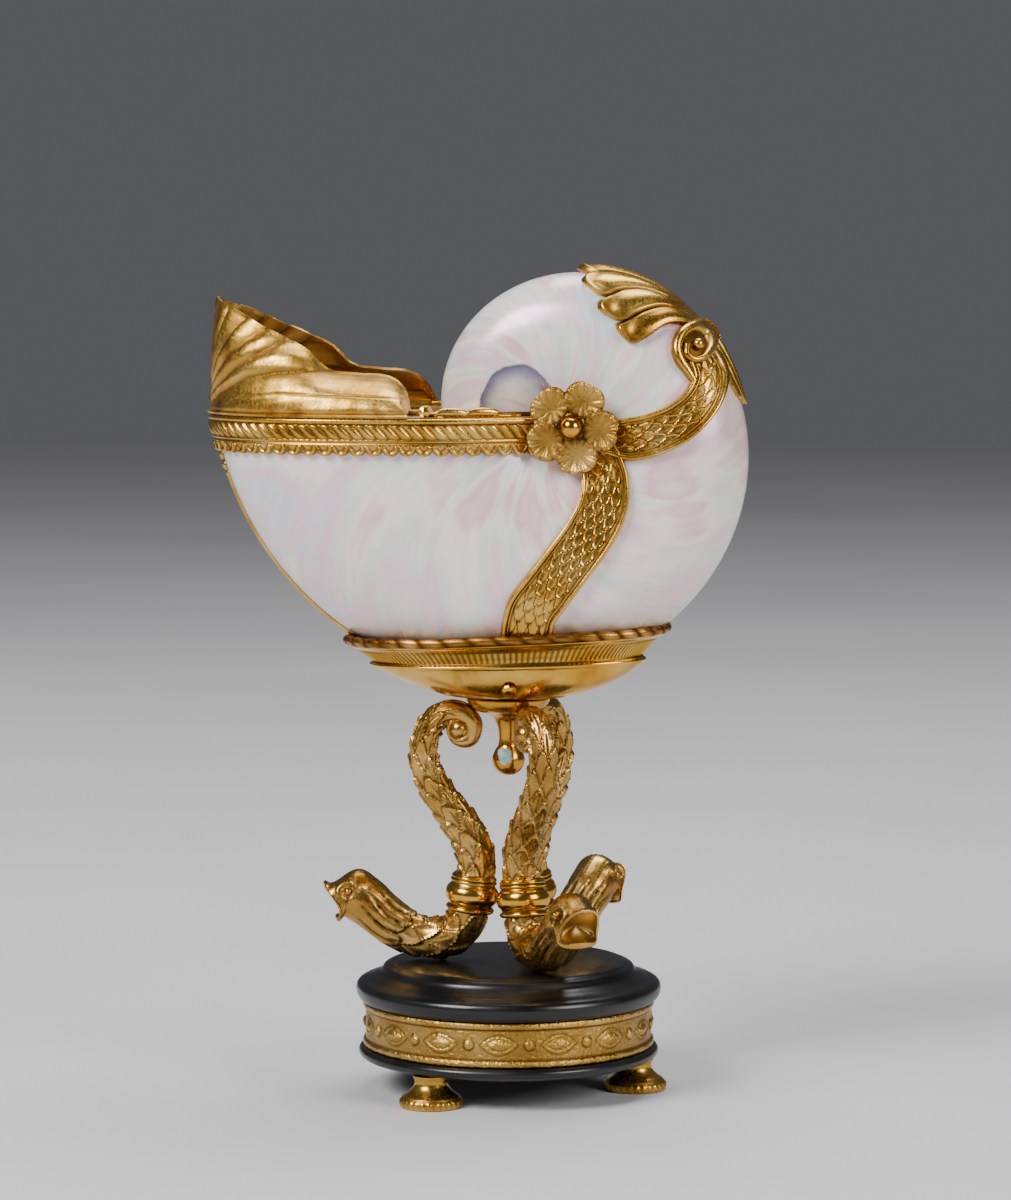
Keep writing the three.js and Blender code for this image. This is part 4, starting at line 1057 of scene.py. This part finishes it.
def makeDish():
    levels = smoothAlong(dishLevels, np.linspace(0, len(dishLevels) - 1, 66))
    turn = np.linspace(0, 2 * math.pi, dish["round"] + 1)[None, :]
    z, a, b = [levels[:, k:k + 1] for k in range(3)]
    reeded = smoothStep(z, 139.7, 140.1) * (1 - smoothStep(z, 144.0, 144.6))
    wave = np.abs(np.cos(turn * dish["reeds"] / 2))
    dent = 0.1 * waver(60 * np.cos(turn), 60 * np.sin(turn), z * 2, 24) * (1 - reeded)
    outer = dishPoint(z + 0 * turn, a + 0 * turn, b + 0 * turn, turn, reeded * 0.45 * wave + dent)
    lipZ = np.array([[145.4, 49.4, 25.6], [144.6, 47.6, 24.2]])
    inner = dishPoint(lipZ[:, :1] + 0 * turn, lipZ[:, 1:2] + 0 * turn, lipZ[:, 2:3] + 0 * turn, turn)
    # Painted shade in the reeds' hollows, in the groove above the ridge and over the inside of the lip.
    depth = np.clip(reeded * (1 - wave) ** 1.2 + bell(z, 139.5, 0.35) + 0 * turn, 0, 1)
    ring = np.concatenate([outer, inner])
    marks = np.concatenate([depth, np.full(inner.shape[:2], 0.8)])
    return gridPiece("dish", ring, {"depth": marks}, closeEnds=True)


rope = dict(a=51.3, b=27.4, z=147.4, radius=1.9, twists=38, steps=640)


def makeRope():
    along = np.linspace(0, 2 * math.pi, rope["steps"] + 1)[:, None]
    turn = np.linspace(0, 2 * math.pi, 25)[None, :]
    lay = np.abs(np.cos((along * rope["twists"] + turn) / 2)) ** 0.5
    radius = rope["radius"] * (0.78 + 0.2 * lay)
    middleX = rope["a"] * np.cos(along) + dish["shift"]
    middleY = rope["b"] * np.sin(along)
    outX, outY = np.cos(along) / rope["a"], np.sin(along) / rope["b"]
    size = np.hypot(outX, outY)
    outX, outY = outX / size, outY / size
    x = middleX + outX * radius * np.cos(turn)
    y = middleY + outY * radius * np.cos(turn)
    z = rope["z"] + middleX * math.tan(dish["tilt"]) + 0.9 * radius * np.sin(turn)
    z = z + 0.25 * np.sin(3 * along + 1) * np.sin(7 * along)
    points = np.stack([x, y, z], axis=-1)
    # Painted shade in the grooves between the rope's strands.
    return gridPiece("ropeRing", points, {"depth": np.clip((1 - lay) * 1.6 + 0 * x, 0, 1)})


dishPiece = fit(makeDish(), "cup", burnishedGilt, ["dish"], 50)
fit(makeRope(), "cup", ropeGilt, ["dish_rope"], 60)
print("dish made", len(dishPiece.data.polygons))


# Stem: a socket cup over a waisted shaft and ball

# Turned outlines here and below are [radius, height], from the foot up.
stemOutline = [(0, 101.4), (1.4, 101.6), (2.6, 102.1), (3.8, 103), (4.7, 104.2), (5.2, 105.6), (5.25, 107),
               (4.9, 108.4), (4.2, 109.9), (3.4, 111.0), (3.2, 111.6), (3.1, 113.4), (3.2, 115.4),
               (3.6, 117.2), (4.3, 119), (5.2, 120.4), (6.4, 121.4), (8, 121.9), (10, 122.4),
               (11.4, 123.2), (12.6, 124.4), (13.3, 125.6), (13.6, 126.4), (13.4, 126.7), (0, 126.7)]
crust = dict(middle=(-0.4, -4.4, 108.6), reach=6.0)


# Gilding over copper alloy, broken on the ball: a matt blue-green crust with a ragged edge.
def verdigrisGilt():
    material, tree = newMaterial("giltWithVerdigris")
    place = addNode(tree, "ShaderNodeTexCoord").outputs["Object"]
    noise = addNode(tree, "ShaderNodeTexNoise", {"Scale": perMetre(3.2), "Detail": 5.0}, {"Vector": place})
    mark = addNode(tree, "ShaderNodeAttribute", {"attribute_name": "crust"})
    where = addNode(tree, "ShaderNodeMath", {"operation": "MULTIPLY_ADD", 1: 0.8},
                    {0: noise.outputs["Fac"], 2: mark.outputs["Fac"]})
    mask = addNode(tree, "ShaderNodeValToRGB", {"stops": [(0.95, 0.0), (1.05, 1.0)]},
                   {"Fac": where.outputs[0]})
    green = addNode(tree, "ShaderNodeValToRGB", {"stops": [(0.35, "#5E7F86"), (0.65, "#9DB7B4")]},
                    {"Fac": noise.outputs["Fac"]})
    colour = addNode(tree, "ShaderNodeMix", {"data_type": "RGBA", 6: "#C48F35"},
                     {0: mask.outputs["Color"], 7: green.outputs["Color"]})
    metal = addNode(tree, "ShaderNodeMapRange", {"To Min": 1.0, "To Max": 0.0},
                    {"Value": mask.outputs["Color"]})
    rough = addNode(tree, "ShaderNodeMapRange", {"To Min": 0.22, "To Max": 0.85},
                    {"Value": mask.outputs["Color"]})
    bump = addNode(tree, "ShaderNodeBump", {"Strength": 0.5, "Distance": 0.0003},
                   {"Height": noise.outputs["Fac"]})
    finishMaterial(tree, {}, {"Base Color": colour.outputs[2], "Metallic": metal.outputs["Result"],
                              "Roughness": rough.outputs["Result"], "Normal": bump.outputs["Normal"]})
    return material


stemPiece = turnedPiece("stem", stemOutline, 56)
crustAway = np.linalg.norm(placesOf(stemPiece) - crust["middle"], axis=1)
addMark(stemPiece, "crust", (1 - crustAway / crust["reach"]).clip(0, 1))
fit(stemPiece, "cup", verdigrisGilt(), ["stem"], 40)


# Dolphins: scaled tail with a curled end, ringed collar, and a body that ends in an open bill
# Each row is [out from the stem's axis, height, half thickness].

tailRoute = [[11.1, 67.6, 5.8], [10.5, 71, 6.0], [10.9, 76, 6.1], [13, 81.4, 6],
             [16.6, 87, 5.7], [21, 92.9, 5.3], [25.1, 99.4, 5], [27.4, 106, 4.6],
             [27.3, 112.4, 4.3], [24.8, 118, 4.1], [20.6, 121.4, 3.9], [16.2, 121.8, 3.7],
             [12.6, 119.9, 3.3], [11.2, 116.4, 2.9], [12.4, 113.2, 2.6], [15.2, 112.4, 2.3],
             [17.6, 113.8, 1.9], [18.0, 116.4, 1.3], [16.4, 117.4, 0.8]]
bodyRoute = [[12.6, 60.5, 5.8], [13.2, 57.6, 6.2], [14.4, 53.2, 6.4], [17.6, 49.8, 6.6], [22.6, 48.4, 6.6],
             [29, 48.6, 6.6], [35.6, 51.3, 6.8], [41.0, 55.2, 7.2], [45.8, 59.2, 7.8], [49.6, 61.8, 8.1]]
dolphin = dict(tailScale=5.6, bodyScale=6.0, scalesRound=6, relief=1.25, tailSteps=285, bodySteps=180,
               around=80, curl=(15.9, 116.3))


def dolphinScales(run, length, turn, pitch):  # uneven rows of scales, whole ones round the body
    uneven = 0.7 * np.sin(turn * 2 + length * 0.13) + 0.5 * np.sin(turn * 5 + 1)
    return scales(run + uneven, turn * dolphin["scalesRound"] / (2 * math.pi) + 0 * length, pitch, 1.6, 0.8)


def skinWaver(length, turn):  # the unevenness of cast skin, which meets itself round the body
    return waver(length + 0 * turn, 6 * np.cos(turn), 6 * np.sin(turn), 5)


def sweep(route, count):
    line, length = evenAlong(route, count)
    along = unit(np.gradient(line[:, :2], axis=0))
    turn = np.linspace(0, 2 * math.pi, dolphin["around"] + 1)[None, :]
    normal = np.stack([-along[:, 1], along[:, 0]], axis=1)  # points up or out from the bend
    return line, length[:, None], normal, turn


def placeRing(line, normal, turn, radius, wide=1.0):
    x = line[:, :1] + normal[:, :1] * radius * np.cos(turn)
    z = line[:, 1:2] + normal[:, 1:2] * radius * np.cos(turn)
    y = radius * np.sin(turn) * wide
    return np.stack([x, y, z], axis=-1)


def makeTail():
    line, length, normal, turn = sweep(tailRoute, dolphin["tailSteps"])
    total = length[-1, 0]
    height, depth = dolphinScales(length, length, turn, dolphin["tailScale"])
    fade = 1 - smoothStep(length, total * 0.66, total * 0.78)  # the curl is plain
    veins = 0.1 * np.cos(turn * dolphin["scalesRound"] * 4)
    relief = (dolphin["relief"] * (height - 0.6) + veins) * fade + 0.12 * skinWaver(length, turn)
    points = placeRing(line, normal, turn, line[:, 2:3] + relief)
    tail = gridPiece("dolphinTail", points, {"depth": np.clip(depth * fade, 0, 1)}, closeEnds=True)
    curlX, curlZ = dolphin["curl"]
    deselectAll()
    bpy.ops.mesh.primitive_uv_sphere_add(segments=28, ring_count=16, radius=0.0036,
                                         location=atCup([[curlX, 0, curlZ]])[0])
    bpy.ops.transform.resize(value=(1, 1.18, 1))
    parts = [tail, settle(bpy.context.object)]
    for side in (-1, 1):
        deselectAll()
        bpy.ops.mesh.primitive_torus_add(major_radius=0.0034, minor_radius=0.0007, major_segments=40,
                                         minor_segments=12, location=atCup([[curlX, side * 2.1, curlZ]])[0],
                                         rotation=(math.pi / 2, 0, 0))
        parts.append(settle(bpy.context.object))
    return joinPieces(parts, "dolphinTail")


collar = dict(lean=math.radians(-8), x=11.8, z=63.2)


def makeCollar():
    def bead(r, h, size, count):  # the round of a bead, from below
        return [(r + size * math.sin(a), h - size * math.cos(a)) for a in np.linspace(0.3, 2.9, count)]
    outline = [(0, -6.1), (7.2, -6.1)] + bead(7.15, -5.2, 0.75, 7) + [(7.0, -4.2), (7.3, -3.6)]
    outline += [(6.9 + 1.75 * math.cos(a), -0.5 + 2.9 * math.sin(a)) for a in np.linspace(-1.25, 1.25, 15)]
    outline += [(7.2, 2.6), (7.0, 3.1)] + bead(7.0, 3.75, 0.55, 6) + bead(6.9, 4.95, 0.5, 6)
    outline += [(6.6, 6.1), (0, 6.1)]
    flat, h = roundPoints(outline, 56)
    lean = collar["lean"]
    x = flat[..., 0] * math.cos(lean) + flat[..., 2] * math.sin(lean) + collar["x"]
    z = -flat[..., 0] * math.sin(lean) + flat[..., 2] * math.cos(lean) + collar["z"]
    # Painted shade in the grooves between the collar's beads and rings.
    grooves = [bell(h, c, 0.3) for c in (-4.1, 2.9, 4.35, -6.0)]
    points = np.stack([x, flat[..., 1], z], axis=-1)
    return gridPiece("dolphinCollar", points, {"depth": np.clip(sum(grooves), 0, 1)})


bill = dict(half=6.5, lip=0.75, eye=(51.4, 63.6), throat=(52.6, 60.2))
# How far up the mouth from -1 to 1, then x and z of its rim
billSide = [[-1, 54.9, 54.0], [-0.8, 54.3, 54.5], [-0.5, 53.6, 55.6], [-0.2, 53.5, 57.2],
            [0.1, 54.5, 59.2], [0.4, 56.2, 61.5], [0.7, 58.3, 63.8], [1, 59.5, 65.5]]


def makeBody():
    line, length, normal, turn = sweep(bodyRoute, dolphin["bodySteps"])
    total = length[-1, 0]
    up, across = np.cos(turn), np.sin(turn)
    height, depth = dolphinScales(total - length + 3, length, turn, dolphin["bodyScale"])
    # A mantle of swept strands starts behind the head and overlaps the scales.
    strand = np.abs(np.sin(turn * 5.5 + 0.5 * np.sin(length * 0.3)))
    start = total * 0.63 - 3.2 * strand ** 0.6 + 1.5 * across ** 2
    mantle = smoothStep(length, start, start + 0.5)
    past = length - start
    furrow = (1 - strand) ** 2 * mantle * (1 - smoothStep(past, 7, 17))
    hatch = 0.07 * np.cos(turn * 48 + 0.4 * length) * mantle
    relief = dolphin["relief"] * (height - 0.6) * (1 - mantle) + mantle * 0.55 - 1.1 * furrow + hatch
    relief = relief - 0.45 * smoothStep(past, 4, 16) + 0.08 * skinWaver(length, turn)
    wide = 1 - 0.06 * smoothStep(length, total * 0.6, total)
    rings = placeRing(line, normal, turn, line[:, 2:3] + relief, wide)
    # Painted shade in the mantle's furrows and under its front edge, as well as under the scales' edges.
    edge = np.exp(-np.clip(-past, 0, None) / 0.5) * (1 - mantle)
    depth = np.clip(depth * (1 - mantle) + furrow * 1.1 + edge, 0, 1)
    # Each point of the last ring runs on in a curve to the rim of the open bill.
    up = up[0]
    rimUp, rimX, rimZ = np.array(billSide).T
    narrow = 1 - 0.12 * up - 0.08 * np.clip(up, 0, 1) ** 2
    halfRim = bill["half"] * np.sign(across[0]) * np.abs(across[0]) ** 0.6 * narrow
    rimLine = np.stack([np.interp(up, rimUp, rimX), halfRim, np.interp(up, rimUp, rimZ)], axis=-1)
    last = rings[-1]
    leave = unit(last - rings[-4])
    arrive = np.stack([1 + 0 * up, 0 * up, 0.22 * up - 0.5 * np.clip(-up, 0, 1)], axis=-1)
    gap = np.linalg.norm(rimLine - last, axis=1)[:, None]
    crown = np.clip(up, 0, 1)[:, None]
    t = np.linspace(0.03, 1, 40)[:, None, None]
    extra = (1 - t) ** 3 * last + 3 * (1 - t) ** 2 * t * (last + leave * gap * (0.36 + 0.2 * crown)) \
        + 3 * (1 - t) * t * t * (rimLine - arrive * gap * (0.36 - 0.06 * crown)) + t ** 3 * rimLine
    outer = np.concatenate([rings, extra])
    marks = np.concatenate([depth, np.zeros(extra.shape[:2])])
    # The eye lies in a hollow under an arched brow.
    eyeX, eyeZ = bill["eye"]
    away = np.hypot((outer[..., 0] - eyeX) / 1.15, outer[..., 2] - eyeZ)
    over = smoothStep(outer[..., 2] - eyeZ + 0.3 * (outer[..., 0] - eyeX), -1.2, 0.6)
    brow = 0.75 * bell(away, 3.2, 0.6) * over + 0.35 * bell(away, 4.7, 0.5) * over
    socket = -0.9 * bell(away, 0, 2.1)
    cheek = np.clip(np.abs(outer[..., 1]) / 5 - 0.4, 0, 1)
    outer[..., 1] += np.sign(outer[..., 1]) * (brow + socket) * cheek
    # Painted shade in the grooves round the eye.
    ringMark = 0.8 * bell(away, 2.4, 0.4) * over + 0.6 * bell(away, 3.95, 0.3) * over
    marks = np.clip(marks + ringMark * cheek, 0, 1)
    # A rolled lip, then a bowl that closes at the throat.
    middle = rimLine.mean(axis=0)
    outward = unit(rimLine - middle)
    facingWay = np.array([0.83, 0, 0.3])
    lipSize = bill["lip"] * (1 + 0.8 * np.clip(-up, 0, 1) ** 3)[:, None]
    a = np.linspace(0.3, math.pi + 0.4, 10)[:, None, None]
    lips = rimLine + lipSize * (outward * (np.sin(a) - 0.2) + facingWay * (0.6 - np.cos(a)) * 0.75)
    throat = np.array([bill["throat"][0], 0, bill["throat"][1]])
    a = np.linspace(0.12, 1.5, 12)[:, None, None]
    bowl = middle + (lips[-1] - middle) * np.cos(a) + (throat - middle) * np.sin(a)
    points = np.concatenate([outer, lips, bowl])
    # Painted shade deepening into the open bill towards the throat.
    bowlDepth = 0.12 + 0.45 * np.sin(a[..., 0]) ** 3 + 0 * up
    marks = np.concatenate([marks, np.zeros(lips.shape[:2]), bowlDepth])
    parts = [gridPiece("dolphinBody", points, {"depth": marks}, closeEnds=True)]
    for side in (-1, 1):
        deselectAll()
        bpy.ops.mesh.primitive_uv_sphere_add(segments=20, ring_count=12, radius=0.00135,
                                             location=atCup([[eyeX, side * 6.35, eyeZ]])[0])
        parts.append(settle(bpy.context.object))
        deselectAll()
        bpy.ops.mesh.primitive_torus_add(major_radius=0.0017, minor_radius=0.0003, major_segments=32,
                                         minor_segments=12,
                                         location=atCup([[eyeX, side * 6.9, eyeZ]])[0],
                                         rotation=(math.pi / 2, 0, side * 0.2))
        bpy.ops.transform.resize(value=(1.3, 1, 0.85))
        parts.append(settle(bpy.context.object))
    return joinPieces(parts, "dolphinBody")


def turnedCopy(piece, name, angle):  # a copy carried round the stem's axis
    copy = copyPiece(piece, name)
    x, y, z = placesOf(copy).T
    turned = [x * math.cos(angle) - y * math.sin(angle), x * math.sin(angle) + y * math.cos(angle), z]
    copy.data.vertices.foreach_set("co", atCup(np.stack(turned, axis=1)).astype(np.float32).ravel())
    copy.data.update()
    return copy


for maker, node, material in ((makeTail, "dolphin_tail", castGilt),
                              (makeCollar, "dolphin_collar", burnishedGilt),
                              (makeBody, "dolphin_body", castGilt)):
    first = maker()
    for k in range(3):
        copy = turnedCopy(first, f"{first.name}{k + 1}", math.pi + 2 * math.pi * k / 3)
        fit(copy, "cup", material, [f"{node}_{k + 1}"], 48)
    bpy.data.objects.remove(first)
print("dolphins made")


# Socle: black turned wood, with a stamped band round its drum and three turned feet

socleTop = [(0, 14.9), (44.6, 14.9), (44.6, 29.1)]
socleTop += [(47.2, 29.2), (47.9, 29.5), (48.6, 30.4), (49.1, 31.6), (49.3, 32.8), (49.1, 34), (48.5, 34.9),
             (47.5, 35.5), (46.2, 35.9), (45, 36.2), (44.2, 36.7), (43, 37.3), (41.8, 37.9), (41.2, 38.4),
             (40.7, 39.2), (40.3, 39.9), (39.6, 40.4), (38.5, 40.6), (38.2, 40.9), (37.6, 41.2),
             (30, 41.1), (0, 41.1)]
soclePlinth = [(0, 10.3), (45.2, 10.3), (45.9, 10.4), (47.2, 10.8), (47.9, 11.3), (48.4, 12.1), (48.45, 12.9),
               (48.1, 13.6), (47.5, 14.1), (46.9, 14.3), (0, 14.3)]
fit(turnedPiece("socleTop", socleTop, 160), "cup", blackWood, ["socle_top"], 40)
fit(turnedPiece("soclePlinth", soclePlinth, 160), "cup", blackWood, ["socle_plinth"], 40)

band = dict(inner=44.9, field=46.2, edge=47.1, low=14.6, high=28.9, motifs=15, longHalf=5.4, tallHalf=2.5,
            boss=1.75, firstTurn=0.047, steps=1080)


def makeBand():
    turn = np.linspace(0, 2 * math.pi, band["steps"] + 1)[None, :]
    heights = [band["low"] + up for up in (0, 0, 0.15, 0.5, 1.0, 1.5, 1.9, 2.15, 2.3)]
    heights += list(np.linspace(17.3, 26.4, 25))
    heights += [band["high"] - down for down in (2.15, 2.0, 1.7, 1.3, 0.8, 0.4, 0.15, 0, 0)]
    z = np.array(heights)[:, None]
    lowRoll = arch((z - 15.7) / 1.15)
    highRoll = arch((z - 27.8) / 1.15)
    r = band["field"] + (band["edge"] - band["field"]) * np.maximum(lowRoll, highRoll) + 0 * turn
    pitch = 2 * math.pi / band["motifs"]
    run = (turn - (-math.pi / 2 + band["firstTurn"])) / pitch
    local = (run - np.round(run)) * pitch * band["field"]
    other = (run + 0.5 - np.round(run + 0.5)) * pitch * band["field"]
    up = z - 21.8
    almond = (local / band["longHalf"]) ** 2 + np.abs(up / band["tallHalf"])
    lens = (local / (band["longHalf"] - 1.5)) ** 2 + np.abs(up / (band["tallHalf"] - 0.7))
    raised = np.clip(1 - lens, 0, 1)
    frameLine = bell(almond, 0.95, 0.13)
    boss = np.sqrt(np.clip(1 - (other ** 2 + up ** 2) / band["boss"] ** 2, 0, 1))
    field = (z > 17.2) & (z < 26.5)
    lift = np.where(field, 0.95 * np.sqrt(raised) + 0.35 * frameLine + 0.95 * boss, 0)
    plain = field & (almond > 1.15) & (boss == 0)
    # Painted shade over the plain punched ground, in a ring round each boss, round each almond and its lens,
    # and in the grooves by the rolls.
    bossRimShade = bell(np.hypot(other, up), band["boss"], 0.3)
    depth = np.where(field, np.clip(0.3 * plain + bossRimShade * 0.8 + bell(almond, 1.3, 0.14) * 0.6
                                    + bell(lens, 1.1, 0.12) * 0.5, 0, 1), 0)
    depth = depth + bell(z, 17.05, 0.3) + bell(z, 26.6, 0.3)
    r = r + lift
    r[[0, -1]] = band["inner"]
    points = np.stack([r * np.cos(turn), r * np.sin(turn), z + 0 * turn], axis=-1)
    points = np.concatenate([points, points[:1]])
    marks = np.concatenate([depth, depth[:1]])
    return gridPiece("socleBand", points, {"depth": np.clip(marks, 0, 1)})


bandPiece = fit(makeBand(), "cup", punchedGilt, ["socle_band"], 50)
print("band made", len(bandPiece.data.polygons))

foot = dict(ring=41.2, flutes=28, steps=136)
footOutline = [(0, 0), (9.4, 0), (9.9, 0.35), (10.15, 0.9), (10.25, 1.8), (10.0, 2.5), (9.4, 2.9),
               (9.2, 3.3), (8.9, 3.7), (7.9, 4.3), (7.0, 5.0), (6.2, 5.8), (5.5, 6.7), (5.15, 7.7),
               (5.3, 8.6), (5.7, 9.4), (5.95, 10.1), (0, 10.1)]


def makeFoot():
    line = np.array(footOutline, float)
    turn = np.linspace(0, 2 * math.pi, foot["steps"] + 1)[None, :]
    r, z = line[:, :1], line[:, 1:2]
    fluted = np.exp(-((z - 1.7) / 0.9) ** 4)
    wave = np.abs(np.cos(turn * foot["flutes"] / 2 + z * 0.6))
    r = r - 0.7 * fluted * (1 - wave) * (r > 1)
    points = np.stack([foot["ring"] + r * np.cos(turn), r * np.sin(turn), z + 0 * turn], axis=-1)
    # Painted shade in the flutes and in the groove above them.
    depth = fluted * (1 - wave) ** 1.3 + bell(z, 3.1, 0.3)
    return gridPiece("foot", points, {"depth": np.clip(depth, 0, 1)})


firstFoot = makeFoot()
for k in range(3):
    copy = turnedCopy(firstFoot, f"foot{k + 1}", 2 * math.pi * k / 3)
    fit(copy, "cup", stampedGilt, [f"foot_{k + 1}"], 45)
bpy.data.objects.remove(firstFoot)
print("socle made")


# Fringe: low round lobes that stand up along each side of the mouth plate, behind the hinge

fringe = dict(steps=150, start=-19.0, pitch=9.8, lobes=2, end=13.0, base=219.0, high=2.4, thick=1.1)


def makeFringe(side):
    x = np.linspace(fringe["start"], fringe["end"], fringe["steps"])[:, None]
    run = (x - fringe["start"]) / fringe["pitch"]
    hump = arch(2 * (run - np.floor(run)) - 1) * (run < fringe["lobes"])
    top = fringe["base"] + 0.9 + (fringe["high"] - 0.9) * hump
    turn = np.linspace(0, 2 * math.pi, 25)[None, :]
    outY = halfBreadthAt(x, whorl["axisZ"] - 1e-6) - 1.2
    half = fringe["thick"] * (0.7 + 0.5 * hump)
    middle = (top + fringe["base"] - 0.6) / 2
    z = middle + (top - fringe["base"] + 0.6) / 2 * np.cos(turn)
    y = outY + half * np.sign(np.sin(turn)) * np.abs(np.sin(turn)) ** 0.8
    points = np.stack([x + 0 * turn, side * y, z], axis=-1)
    # Painted shade in the dips between the lobes.
    depth = np.clip((1 - hump) ** 3 + 0 * turn, 0, 1)
    return gridPiece("plateFringe", points, {"depth": depth}, closeEnds=True)


def makePlate():  # the frame's own plate, cut off level where the lobes begin
    plate = copyPiece(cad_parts["mouth_plate"], "plate")
    pick(plate)
    bpy.ops.object.mode_set(mode="EDIT")
    bpy.ops.mesh.select_all(action="SELECT")
    bpy.ops.mesh.remove_doubles(threshold=0.00001)
    bpy.ops.mesh.bisect(plane_co=(0, 0, (fringe["base"] + 0.15) / 1000), plane_no=(0, 0, 1), use_fill=True,
                        clear_outer=True)
    bpy.ops.object.mode_set(mode="OBJECT")
    tidyMesh(plate)
    return plate


def makePlateTab(side):
    return makeBlock((hinge["x"] + hinge["plateTab"][0] / 2, side * 35.5, 219.2), hinge["plateTab"])


plateParts = [makePlate()]
for side in (-1, 1):
    plateParts += [makeFringe(side), makeBarrel(side, hinge["plate"]), makePlateTab(side)]
fit(joinPieces(plateParts, "mouthPlate"), "cup", stampedGilt, ["mouth_plate"], 60)

# Small pieces kept from the frame, with their finish
for node in ("dish_screw", "hinge_pin_near", "hinge_pin_far"):
    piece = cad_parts[node]
    piece.data.materials.clear()
    piece.data.materials.append(burnishedGilt)


# Room: a flat pale floor, soft lamps and the camera

# Matt coated paper: a plain pale ground that throws back no shine.
def paperFloor():
    material, tree = newMaterial("palePaperFloor")
    place = addNode(tree, "ShaderNodeTexCoord").outputs["Object"]
    noise = addNode(tree, "ShaderNodeTexNoise", {"Scale": 3.0, "Detail": 4.0}, {"Vector": place})
    tone = addNode(tree, "ShaderNodeValToRGB", {"stops": [(0.3, "#C9C8CA"), (0.7, "#D2D1D2")]},
                   {"Fac": noise.outputs["Fac"]})
    finishMaterial(tree, {"Roughness": 0.85}, {"Base Color": tone.outputs["Color"]})
    return material


deselectAll()
bpy.ops.mesh.primitive_plane_add(size=8, location=(0, 0, 0))
floor = bpy.context.object
floor.name = "floor"
floor.data.materials.append(paperFloor())


def addLamp(name, place, target, size, power):
    deselectAll()
    bpy.ops.object.light_add(type="AREA", location=place)
    lamp = bpy.context.object
    lamp.name = name
    lamp.data.size = size
    lamp.data.energy = power
    away = unit(np.array(lamp.location) - target)
    lamp.rotation_euler = (math.acos(away[2]), 0, math.atan2(away[1], away[0]) + math.pi / 2)


cupMiddle = (0, 0, 0.16)
addLamp("keyLamp", (-1.1, -1.3, 1.5), cupMiddle, 0.9, 58)
addLamp("fillLamp", (1.5, -0.9, 0.9), cupMiddle, 0.8, 22)
addLamp("topLamp", (0.1, 0.5, 1.7), cupMiddle, 1.0, 22)

world = bpy.data.worlds.new("studio")
world.use_nodes = True
backdrop = world.node_tree.nodes["Background"].inputs
backdrop["Color"].default_value = linear("#85868C")
backdrop["Strength"].default_value = 0.42
bpy.context.scene.world = world

view = dict(away=1.45, height=0.2845, turn=math.radians(6.5), pitch=math.radians(4.98), lens=135.93,
            shiftX=-0.0025)
bpy.ops.object.camera_add()
camera = bpy.context.object
camera.name = "camera"
camera.location = (stemX / 1000 + view["away"] * math.sin(view["turn"]),
                   -view["away"] * math.cos(view["turn"]), view["height"])
camera.rotation_euler = (math.pi / 2 - view["pitch"], 0, view["turn"])
camera.data.lens = view["lens"]
camera.data.sensor_width = 36
camera.data.shift_x = view["shiftX"]
bpy.context.scene.camera = camera
print("room made")
